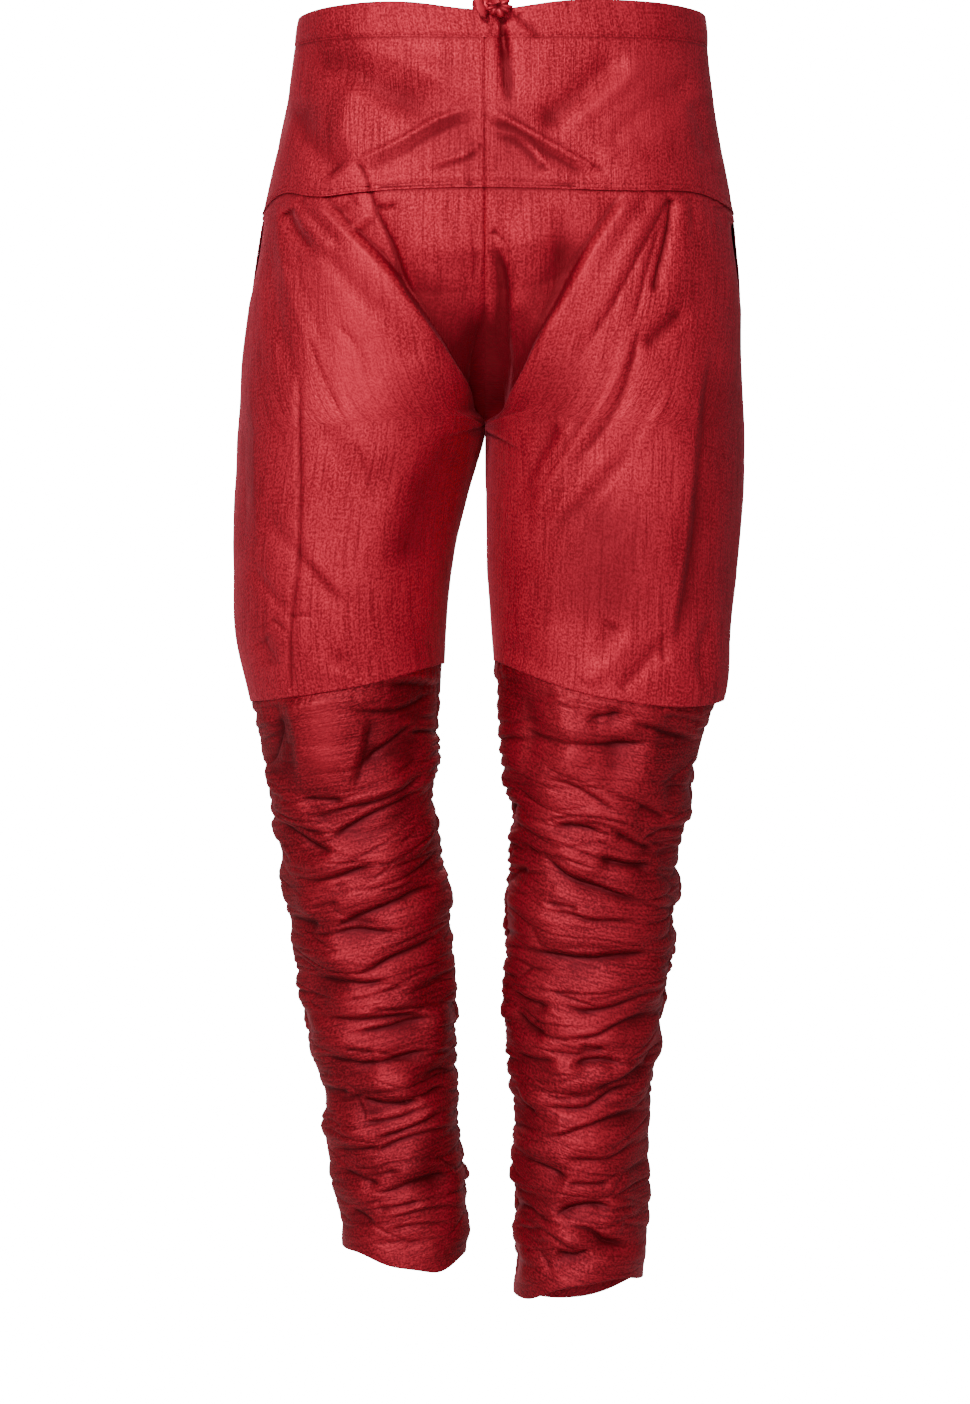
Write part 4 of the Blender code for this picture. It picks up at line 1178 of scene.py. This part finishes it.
def add_band(face, finish):
    halves = zip(*(half_band(side, face, *BAND_SIZES[face]) for side in SIDES))
    joined = (np.concatenate([a[:, :0:-1], (a[:, :1] + b[:, :1]) / 2, b[:, 1:]], axis=1) for a, b in halves)
    base, points, outward, relief, shade = joined
    # Painted highlight on ridges and painted shade in hollows and creases, with the lighter wear of ridges.
    painted_light_and_wear = np.clip(local_height(relief) - shade, -MOST_PAINTED_LIGHT_AND_WEAR, 1)
    SURFACES["waistband_" + face] = points
    roll = []
    for angle in np.linspace(0, math.pi, ROLL_STEPS)[1:-1]:
        lift = np.array([0, 0, CASING / 2 * math.sin(angle)])
        roll.append(points[0] - CASING / 2 * (1 + math.cos(angle)) * outward[0] + lift)
    roll = np.array(roll)
    painted_light_and_wear = np.concatenate([painted_light_and_wear[::-1], np.full(roll.shape[:2], ROLL_LIGHTNESS), painted_light_and_wear])
    base, points = (np.concatenate([(grid - CASING * outward)[::-1], roll, grid]) for grid in (base, points))
    add_sheet("waistband_" + face, (base, points, painted_light_and_wear), face == "back", finish)


# The strip behind a pocket: its rows and columns, how far it reaches over and under the mouth, and between
# which turns. It lies deepest behind the mouth and comes up to the panels at its edges, over a height and a
# part of a turn.
FACING_SIZE = (60, 30)
FACING_OVER = 0.012
FACING_UNDER = 0.010
FACING_TURNS = (math.pi / 2 - 0.32, math.pi / 2 + 0.24)
FACING_RISE = 0.010
FACING_TURN_RISE = 0.12
FACING_DEPTHS = (0.0012, 0.0026)


def add_facing(side, finish):
    pocket = POCKETS[side]
    height = np.linspace(pocket.top + FACING_OVER, pocket.foot - FACING_UNDER, FACING_SIZE[0] + 1)[:, None]
    turn = np.linspace(*FACING_TURNS, FACING_SIZE[1] + 1)[None, :]
    turn, height = np.broadcast_arrays(turn, height)
    base, outward = ring_points(side, turn, height)
    inside = eased((pocket.top + FACING_OVER - height) / FACING_RISE)
    inside = inside * eased((height - pocket.foot + FACING_UNDER) / FACING_RISE)
    inside = inside * eased((turn - FACING_TURNS[0]) / FACING_TURN_RISE)
    inside = inside * eased((FACING_TURNS[1] - turn) / FACING_TURN_RISE)
    flip = (SIGN[side], 1, 1)
    relief = silk(base * flip) - FACING_DEPTHS[0] - FACING_DEPTHS[1] * inside - pocket_dip(side, turn, height)
    points = (base + relief[..., None] * outward) * flip
    # Its local height paints ridges lighter and hollows darker: painted highlight and painted shade, with the
    # wear of ridges.
    grids = (base * flip, points, local_height(relief))
    add_sheet("pocket_facing_" + side, grids, side == "left", finish)


def side_faces(count, sides):
    """Faces round a tube of so many rings."""
    faces = []
    for ring in range(count - 1):
        for step in range(sides):
            a = ring * sides + step
            b = ring * sides + (step + 1) % sides
            faces.append((a, b, b + sides, a + sides))
    return faces


def tube_mesh(name, groups):
    """One mesh of closed tubes, each given as its rings of points."""
    verts = []
    faces = []
    for rings in groups:
        count, sides = rings.shape[:2]
        last = (count - 1) * sides
        caps = [range(sides - 1, -1, -1), range(last, last + sides)]
        faces += [tuple(len(verts) + index for index in face) for face in [*side_faces(count, sides), *caps]]
        verts += rings.reshape(-1, 3).tolist()
    mesh = bpy.data.meshes.new(name)
    mesh.from_pydata(verts, [], faces)
    return mesh


# Stitches, in metres: their length, the distance from one to the next, and half their thickness. Each has
# rings at these shares of its length, with these shares of its thickness, and arches up from the cloth.
STITCH = 0.0024
STITCH_PITCH = 0.0034
THREAD = 0.00022
STITCH_RINGS = ((0.0, 0.35), (0.2, 1.0), (0.8, 1.0), (1.0, 0.35))
STITCH_SIDES = 5
STITCH_ARCH = 0.9
STITCH_SINK = 0.2


def surface_line(node, away, centre_x):
    """Places on a node's surface, so far along the cloth from its last row, and the ways out there."""
    surface = SURFACES[node]
    lengths = lengths_along(surface, 0)
    left = lengths[-1] - lengths
    normals = unit(np.cross(np.gradient(surface, axis=1), np.gradient(surface, axis=0)))
    inside_out = normals[..., 0] * (surface[..., 0] - centre_x) + normals[..., 1] * surface[..., 1] < 0
    normals[inside_out] *= -1
    places = []
    ups = []
    for index in range(surface.shape[1]):
        order = left[::-1, index]
        row = np.interp(away, order, np.arange(len(order))[::-1])
        low = int(row)
        part = row - low
        high = min(low + 1, len(order) - 1)
        places.append(surface[low, index] * (1 - part) + surface[high, index] * part)
        ups.append(normals[low, index])
    return np.array(places), np.array(ups)


def stitch(start, end, up):
    """A short rounded stitch, as rings of points."""
    along = end - start
    side = unit(np.cross(along, up))
    up = unit(np.cross(side, along))
    rings = []
    for share, size in STITCH_RINGS:
        lift = THREAD * (STITCH_ARCH * math.sin(math.pi * share) - STITCH_SINK)
        middle = start + along * share + up * lift
        for step in range(STITCH_SIDES):
            angle = math.tau * step / STITCH_SIDES
            rings.append(middle + (side * math.cos(angle) + up * math.sin(angle)) * THREAD * size)
    return np.array(rings).reshape(len(STITCH_RINGS), STITCH_SIDES, 3)


def add_stitches(name, lines, finish):
    """One mesh of thread: a stitch at every pitch along each line."""
    groups = []
    for places, ups in lines:
        lengths = run_lengths(places)
        for at in np.arange(STITCH_PITCH, lengths[-1] - STITCH_PITCH, STITCH_PITCH):
            ends = [[np.interp(at + shift, lengths, line) for line in places.T] for shift in (0, STITCH)]
            up = ups[min(np.searchsorted(lengths, at), len(ups) - 1)]
            groups.append(stitch(*np.array(ends), up))
    add_piece(name, tube_mesh(name, groups), None, finish)


# The tie: its width and thickness, how it turns along its length, how narrow its cut tip gets and from
# where, and its crimps, each with its depth, its turns and where it starts.
TIE_WIDTH = 0.0066
TIE_THICKNESS = 0.0011
TIE_POINTS = 60
TIE_TWIST = 0.5
TIP_CUT = 0.9
TIP_START = 0.93
TIE_CRIMPS = ((0.08, 41, 0), (0.05, 97, 1))
# The corners of the tie's section, as shares of its width and thickness, and how light each is painted: the
# edges get painted shade and the middle painted highlight. The tip gets painted darker by so much from one
# share of the length on, within another.
TIE_SECTION = [(-0.5, 0.2), (-0.42, 0.5), (0.0, 0.56), (0.42, 0.5), (0.5, 0.2)]
TIE_SECTION += [(0.5, -0.2), (0.42, -0.5), (0.0, -0.42), (-0.42, -0.5), (-0.5, -0.2)]
TIE_PAINTED_LIGHT = 2 * [-1.3, -0.5, 0.5, -0.5, -1.3]
TIP_PAINTED_SHADE = 1.4
TIP_SHADE = (0.84, 0.12)
# The tie's two free ends follow the routes of their solids, and the flat of each looks this way.
TIE_ENDS = {
    "drawstring_end_front": [
        (0.0080, -0.1185, -0.0035),
        (0.0060, -0.1190, 0.0030),
        (0.0020, -0.1190, 0.0068),
        (-0.0030, -0.1187, 0.0068),
        (-0.0052, -0.1182, 0.0020),
        (-0.0042, -0.1178, -0.0040),
        (-0.0020, -0.1175, -0.0090),
        (0.0004, -0.1172, -0.0140),
    ],
    "drawstring_end_inside": [
        (0.0070, -0.1150, -0.0070),
        (0.0032, -0.1155, -0.0050),
        (-0.0005, -0.1150, -0.0016),
        (-0.0036, -0.1120, 0.0022),
        (-0.0055, -0.1082, 0.0012),
        (-0.0062, -0.1062, -0.0050),
        (-0.0066, -0.1060, -0.0140),
        (-0.0066, -0.1065, -0.0240),
    ],
}
TIE_FACING = {"drawstring_end_front": (-0.35, -0.9, 0.25), "drawstring_end_inside": (-0.3, -0.8, 0.5)}


def ribbon(points, facing):
    """A flat tie with rounded edges along a line: facing is the way its flat side looks."""
    tangents = unit(np.gradient(points, axis=0))
    rings = []
    for point, tangent, along in zip(points, tangents, np.linspace(0, 1, len(points))):
        side = unit(np.cross(tangent, facing))
        up = np.cross(side, tangent)
        cosine = math.cos(TIE_TWIST * along)
        sine = math.sin(TIE_TWIST * along)
        side, up = side * cosine + up * sine, up * cosine - side * sine
        narrow = 1.0 - TIP_CUT * max(0.0, (along - TIP_START) / (1 - TIP_START))
        crimp = 1 + sum(depth * math.sin(count * along + start) for depth, count, start in TIE_CRIMPS)
        width = TIE_WIDTH * narrow * crimp
        rings.append([point + side * a * width + up * b * TIE_THICKNESS for a, b in TIE_SECTION])
    return np.array(rings)


def add_tie(finish):
    for node, route in TIE_ENDS.items():
        points = smooth_route(route, TIE_POINTS)
        along = np.linspace(0, 1, TIE_POINTS)[:, None]
        # Painted shade along the tie's edges and at its tip, and painted highlight along its middle.
        painted_light_and_wear = np.array(TIE_PAINTED_LIGHT) - TIP_PAINTED_SHADE * np.clip((along - TIP_SHADE[0]) / TIP_SHADE[1], 0, 1)
        name = "cloth_" + node
        piece = add_piece(name, tube_mesh(name, [ribbon(points, TIE_FACING[node])]), painted_light_and_wear, finish, node)


# Half the knot's width, thickness and height, how deep and how wide its middle is, and the grooves around
# that, each with its number of turns, its start and its depth, as shares.
KNOT_MIDDLE = (0.0098, -0.1150, -0.0048)
KNOT_RADII = (0.0094, 0.0044, 0.0072)
KNOT_RINGS = 44
KNOT_SIDES = 90
KNOT_POLE = 0.02
KNOT_HOLLOW = 0.70
KNOT_HOLLOW_WIDTH = 0.55
KNOT_GROOVES = ((9, 0.0, 0.10), (5, 1.0, 0.07))
KNOT_SWAY = 0.8
# How much painted highlight the knot's ridges get, and how much painted shade all of it and its middle get.
KNOT_PAINTED_LIGHT = (12, 0.4, 2.4)


def add_knot(finish):
    """The knot: the tie and the band's cloth gathered round its dark middle, in uneven folds."""
    bend = np.linspace(KNOT_POLE, math.pi - KNOT_POLE, KNOT_RINGS)[:, None]
    turn = np.linspace(0, math.tau, KNOT_SIDES + 1)[None, :-1]
    ways = [np.sin(bend) * np.cos(turn), -np.cos(bend) * np.ones_like(turn), np.sin(bend) * np.sin(turn)]
    hollow = bell(bend, KNOT_HOLLOW_WIDTH)
    folds = 0
    for count, start, depth in KNOT_GROOVES:
        folds = folds + depth * np.cos(count * turn + start + KNOT_SWAY * np.sin(2 * turn)) * np.sin(bend)
    size = 1 - KNOT_HOLLOW * hollow + folds
    rings = np.stack([size * way for way in ways], axis=-1) * KNOT_RADII + KNOT_MIDDLE
    # Painted highlight on the knot's ridges and painted shade over all of it and in its middle.
    painted_light_and_wear = np.clip(KNOT_PAINTED_LIGHT[0] * folds - KNOT_PAINTED_LIGHT[1] - KNOT_PAINTED_LIGHT[2] * hollow, -MOST_PAINTED_LIGHT_AND_WEAR, 1)
    name = "cloth_drawstring_knot"
    add_piece(name, tube_mesh(name, [rings]), painted_light_and_wear, finish, "drawstring_knot")


def node(tree, kind, links=(), **values):
    """Adds a shader node. Values are set on it, and links are sockets or values for its inputs."""
    made = tree.nodes.new("ShaderNode" + kind)
    for name, value in values.items():
        setattr(made, name, value)
    for socket, source in dict(links).items():
        if isinstance(source, bpy.types.NodeSocket):
            tree.links.new(source, made.inputs[socket])
        else:
            made.inputs[socket].default_value = source
    return made


def blended(tree, amount, first, second):
    """A mix of two colours, each a socket or a colour."""
    return node(tree, "Mix", {0: amount, 6: first, 7: second}, data_type="RGBA").outputs[2]


def ramp(tree, source, low, high, start=0.0, finish=1.0):
    """Stretches the part of a value from low to high to the whole from start to finish."""
    return node(tree, "MapRange", {0: source, 1: low, 2: high, 3: start, 4: finish}).outputs[0]


def maths(tree, operation, first, second):
    return node(tree, "Math", {0: first, 1: second}, operation=operation).outputs[0]


def weighted(tree, first, share, second, other_share):
    parts = (maths(tree, "MULTIPLY", first, share), maths(tree, "MULTIPLY", second, other_share))
    return maths(tree, "ADD", *parts)


def noise_texture(tree, places, scale, detail, roughness):
    links = {"Vector": places, "Scale": scale, "Detail": detail, "Roughness": roughness}
    return node(tree, "TexNoise", links).outputs[0]


def streaks(tree, across, along, detail, roughness):
    """Noise with features that are so many to the metre across the streaks and along them."""
    places = node(tree, "TexCoord").outputs["UV"]
    scaled = node(tree, "Mapping", {"Vector": places, "Scale": (across, along, 1.0)})
    return noise_texture(tree, scaled.outputs[0], 1.0, detail, roughness)


def new_material(name):
    material = bpy.data.materials.new(name)
    material.use_nodes = True
    return material, material.node_tree, material.node_tree.nodes["Principled BSDF"]


# The silk's slubs: detail and roughness of each kind of noise, and the shares of the first two in a streak.
SLUBS = {"fine": (4.0, 0.65), "broad": (3.0, 0.6), "thread": (2.0, 0.5), "knots": (1.5, 0.5)}
STREAK_SHARES = (0.72, 0.28)
DARK_SLUB = (0.57, 0.66)
DARK_SLUB_SHARE = 0.05
PATCHES = (16.0, 4.0, 0.55)
BUMP_THREADS = 0.45
DEEP_SHARE = 0.6
SILK = {
    "Metallic": 0.45,
    "Specular IOR Level": 0.5,
    "Specular Tint": (1.0, 0.27, 0.35, 1.0),
    "Sheen Roughness": 0.35,
    "Sheen Tint": (1.0, 0.16, 0.23, 1.0),
}
BUMP_DISTANCE = 0.0015
# Lighter streaks are a little smoother: between two values of a streak, from rougher to smoother by so
# much.
STREAK_RANGE = (0.3, 0.7)
ROUGHER = 0.08
SMOOTHER = 0.07


def cloth_material(name, colours, slubs, roughness, sheen, bump):
    """Slubbed silk: colours are its shade, middle and light, slubs the features to the metre in u and v."""
    material, tree, shader = new_material(name)
    fine, broad, thread, knots = (streaks(tree, *slubs[kind], *SLUBS[kind]) for kind in SLUBS)
    patches = noise_texture(tree, node(tree, "TexCoord").outputs["Object"], *PATCHES)
    wear_and_painted_light = node(tree, "Attribute", attribute_name="wear_and_painted_light").outputs["Fac"]
    streak = weighted(tree, fine, STREAK_SHARES[0], broad, STREAK_SHARES[1])
    streak = weighted(tree, streak, 1.0, ramp(tree, knots, *DARK_SLUB), -DARK_SLUB_SHARE)
    shade, middle, light = ((*colour, 1.0) for colour in colours)
    deep = (*(DEEP_SHARE * part for part in colours[0]), 1.0)
    colour = shade
    for source, low, high, strength, tint in (
        (streak, 0.42, 0.57, 1.0, middle),
        (patches, 0.40, 0.62, 0.45, light),
        (thread, 0.49, 0.59, 0.68, light),
        (thread, 0.50, 0.40, 0.56, deep),
        (knots, 0.42, 0.33, 0.35, light),
        (knots, *DARK_SLUB, 0.40, deep),
        # The last two tints mix in the painted highlight and painted shade, with the lighter wear of ridges,
        # from the attribute.
        (wear_and_painted_light, 0.1, MOST_PAINTED_LIGHT_AND_WEAR, 0.50, light),
        (wear_and_painted_light, -0.1, -MOST_PAINTED_LIGHT_AND_WEAR, 1.0, deep),
    ):
        colour = blended(tree, maths(tree, "MULTIPLY", ramp(tree, source, low, high), strength), colour, tint)
    tree.links.new(colour, shader.inputs["Base Color"])
    rough = ramp(tree, streak, *STREAK_RANGE, roughness + ROUGHER, roughness - SMOOTHER)
    tree.links.new(rough, shader.inputs["Roughness"])
    for socket, value in {**SILK, "Sheen Weight": sheen}.items():
        shader.inputs[socket].default_value = value
    height = weighted(tree, streak, 1.0, thread, BUMP_THREADS)
    relief = node(tree, "Bump", {"Strength": bump, "Distance": BUMP_DISTANCE, "Height": height})
    tree.links.new(relief.outputs[0], shader.inputs["Normal"])
    return material


UPPER_SLUBS = {"fine": (800, 36), "broad": (210, 10), "thread": (640, 520), "knots": (560, 20)}
LOWER_SLUBS = {"fine": (36, 800), "broad": (10, 210), "thread": (520, 640), "knots": (20, 560)}
UPPER_COLOURS = ((0.24, 0.0055, 0.013), (0.38, 0.0110, 0.025), (0.56, 0.0230, 0.046))
# The lower legs' colours are the upper silk's painted darker: painted shade on the same cloth, whose slubs only
# turn.
LOWER_COLOURS = ((0.12, 0.0027, 0.0064), (0.222, 0.0060, 0.0130), (0.37, 0.0140, 0.027))
THREAD_COLOURS = ((0.10, 0.0020, 0.0050), (0.15, 0.0035, 0.0080), (0.20, 0.0060, 0.0120))
# The pocket facing's colours are painted nearly black: painted shade inside the pocket, on the same silk.
DARK_COLOURS = ((0.04, 0.0010, 0.0022), (0.07, 0.0018, 0.0040), (0.10, 0.0030, 0.0060))
# Each cloth: its colours, slubs, roughness, sheen and bump.
CLOTHS = {
    "upper_silk": (UPPER_COLOURS, UPPER_SLUBS, 0.50, 0.20, 0.60),
    "lower_silk": (LOWER_COLOURS, LOWER_SLUBS, 0.44, 0.10, 0.55),
    "pocket_silk": (DARK_COLOURS, UPPER_SLUBS, 0.6, 0.10, 0.3),
    "tie_silk": (UPPER_COLOURS, LOWER_SLUBS, 0.42, 0.20, 0.35),
    "thread": (THREAD_COLOURS, UPPER_SLUBS, 0.5, 0.3, 0.1),
}

# The round stage, in metres: how far its floor reaches, the roundness of its foot and its wall's height.
STAGE_RADIUS = 4.8
STAGE_BEND = 0.8
STAGE_HEIGHT = 4.5
STAGE_SIDES = 64
STAGE_RINGS = 13
STAGE_MIDDLE = 0.01
STAGE_GLOW = 40.0
STAGE_SEEN = 0.85
STAGE_ROUGHNESS = 0.8
STAGE_NOISE = (1.5, 2.0, 0.5)
STAGE_RANGE = (0.3, 0.7)
STAGE_GREYS = (0.50, 0.54)


def stage_material():
    material, tree, shader = new_material("studio_white")
    noise = noise_texture(tree, node(tree, "TexCoord").outputs["Object"], *STAGE_NOISE)
    greys = ((grey, grey, grey, 1.0) for grey in STAGE_GREYS)
    white = blended(tree, ramp(tree, noise, *STAGE_RANGE), *greys)
    tree.links.new(white, shader.inputs["Base Color"])
    shader.inputs["Roughness"].default_value = STAGE_ROUGHNESS
    glow = node(tree, "Emission", {"Color": white, "Strength": STAGE_GLOW}).outputs[0]
    share = maths(tree, "MULTIPLY", node(tree, "LightPath").outputs["Is Camera Ray"], STAGE_SEEN)
    mix = node(tree, "MixShader", {0: share, 1: shader.outputs[0], 2: glow})
    tree.links.new(mix.outputs[0], tree.nodes["Material Output"].inputs["Surface"])
    return material


def add_stage():
    """A pale round floor that curves up into a wall on every side."""
    bend = np.linspace(0, math.pi / 2, STAGE_RINGS)
    radii = [STAGE_MIDDLE, *(STAGE_RADIUS + STAGE_BEND * np.sin(bend)), STAGE_RADIUS + STAGE_BEND]
    heights = [0.0, *(STAGE_BEND - STAGE_BEND * np.cos(bend)), STAGE_HEIGHT]
    verts = []
    for radius, height in zip(radii, heights):
        for turn in np.arange(STAGE_SIDES) * math.tau / STAGE_SIDES:
            verts.append((radius * math.cos(turn), radius * math.sin(turn), FLOOR_HEIGHT + height))
    mesh = bpy.data.meshes.new("studio_floor")
    mesh.from_pydata(verts, [], [*side_faces(len(radii), STAGE_SIDES), tuple(range(STAGE_SIDES))])
    mesh.shade_smooth()
    floor = bpy.data.objects.new("studio_floor", mesh)
    floor.data.materials.append(stage_material())
    bpy.context.scene.collection.objects.link(floor)


# The lights: place, width and height, and power. All of them look at one point.
LIGHTS_AIM = (0, 0, -0.45)
LIGHTS = {
    "key": ((-0.8, -2.5, 1.2), (0.6, 0.6), 94),
    "front": ((-0.30, -3.1, -0.55), (0.5, 0.8), 34),
    "fill": ((1.4, -2.7, 0.7), (0.8, 1.4), 24),
    "top": ((0.2, -0.7, 1.8), (1.2, 0.8), 6),
    "behind_left": ((-0.9, 3.2, 1.4), (0.8, 0.6), 60),
    "behind_right": ((1.1, 3.2, 1.5), (0.8, 0.6), 40),
}
WORLD_STRENGTH = 0.08


def add_lights():
    world = bpy.data.worlds.new("studio")
    world.use_nodes = True
    background = world.node_tree.nodes["Background"]
    background.inputs["Color"].default_value = (1, 1, 1, 1)
    background.inputs["Strength"].default_value = WORLD_STRENGTH
    bpy.context.scene.world = world
    for name, (spot, size, power) in LIGHTS.items():
        light = bpy.data.lights.new(name, "AREA")
        light.shape = "RECTANGLE"
        light.size, light.size_y = size
        light.energy = power
        lamp = bpy.data.objects.new(name, light)
        lamp.location = spot
        direction = [LIGHTS_AIM[axis] - spot[axis] for axis in range(3)]
        turn_z = math.atan2(direction[0], -direction[1])
        turn_x = math.atan2(math.hypot(direction[0], direction[1]), -direction[2])
        lamp.rotation_euler = (-turn_x, 0, -turn_z)
        bpy.context.scene.collection.objects.link(lamp)


# The X places of the middles of a half's hips and of its foot.
HIP_MIDDLE = 0.09
FOOT_MIDDLE = 0.07


def main():
    make_camera()
    upper, lower, dark, tie, thread = (cloth_material(name, *look) for name, look in CLOTHS.items())
    add_tie((tie, "tie_cloth"))
    add_knot((tie, "tie_cloth"))
    for face in FACES:
        add_band(face, (upper, "upper_cloth"))
    for side in SIDES:
        for face in FACES:
            for panel in PANELS:
                finish = (lower, "lower_cloth") if panel == "lower_leg" else (upper, "upper_cloth")
                add_panel(panel, side, face, finish)
        add_facing(side, (dark, "pocket_cloth"))
    upper_lines = []
    hem_lines = []
    for face in FACES:
        upper_lines.append(surface_line("waistband_" + face, BAND_ROW, 0.0))
        for side in SIDES:
            for row in YOKE_ROWS:
                upper_lines.append(surface_line(f"yoke_{face}_{side}", row, SIGN[side] * HIP_MIDDLE))
            hem_lines.append(surface_line(f"lower_leg_{face}_{side}", HEM_ROW, SIGN[side] * FOOT_MIDDLE))
    add_stitches("thread_upper", upper_lines, (thread, "upper_cloth"))
    add_stitches("thread_hems", hem_lines, (thread, "lower_cloth"))
    add_stage()
    add_lights()


main()
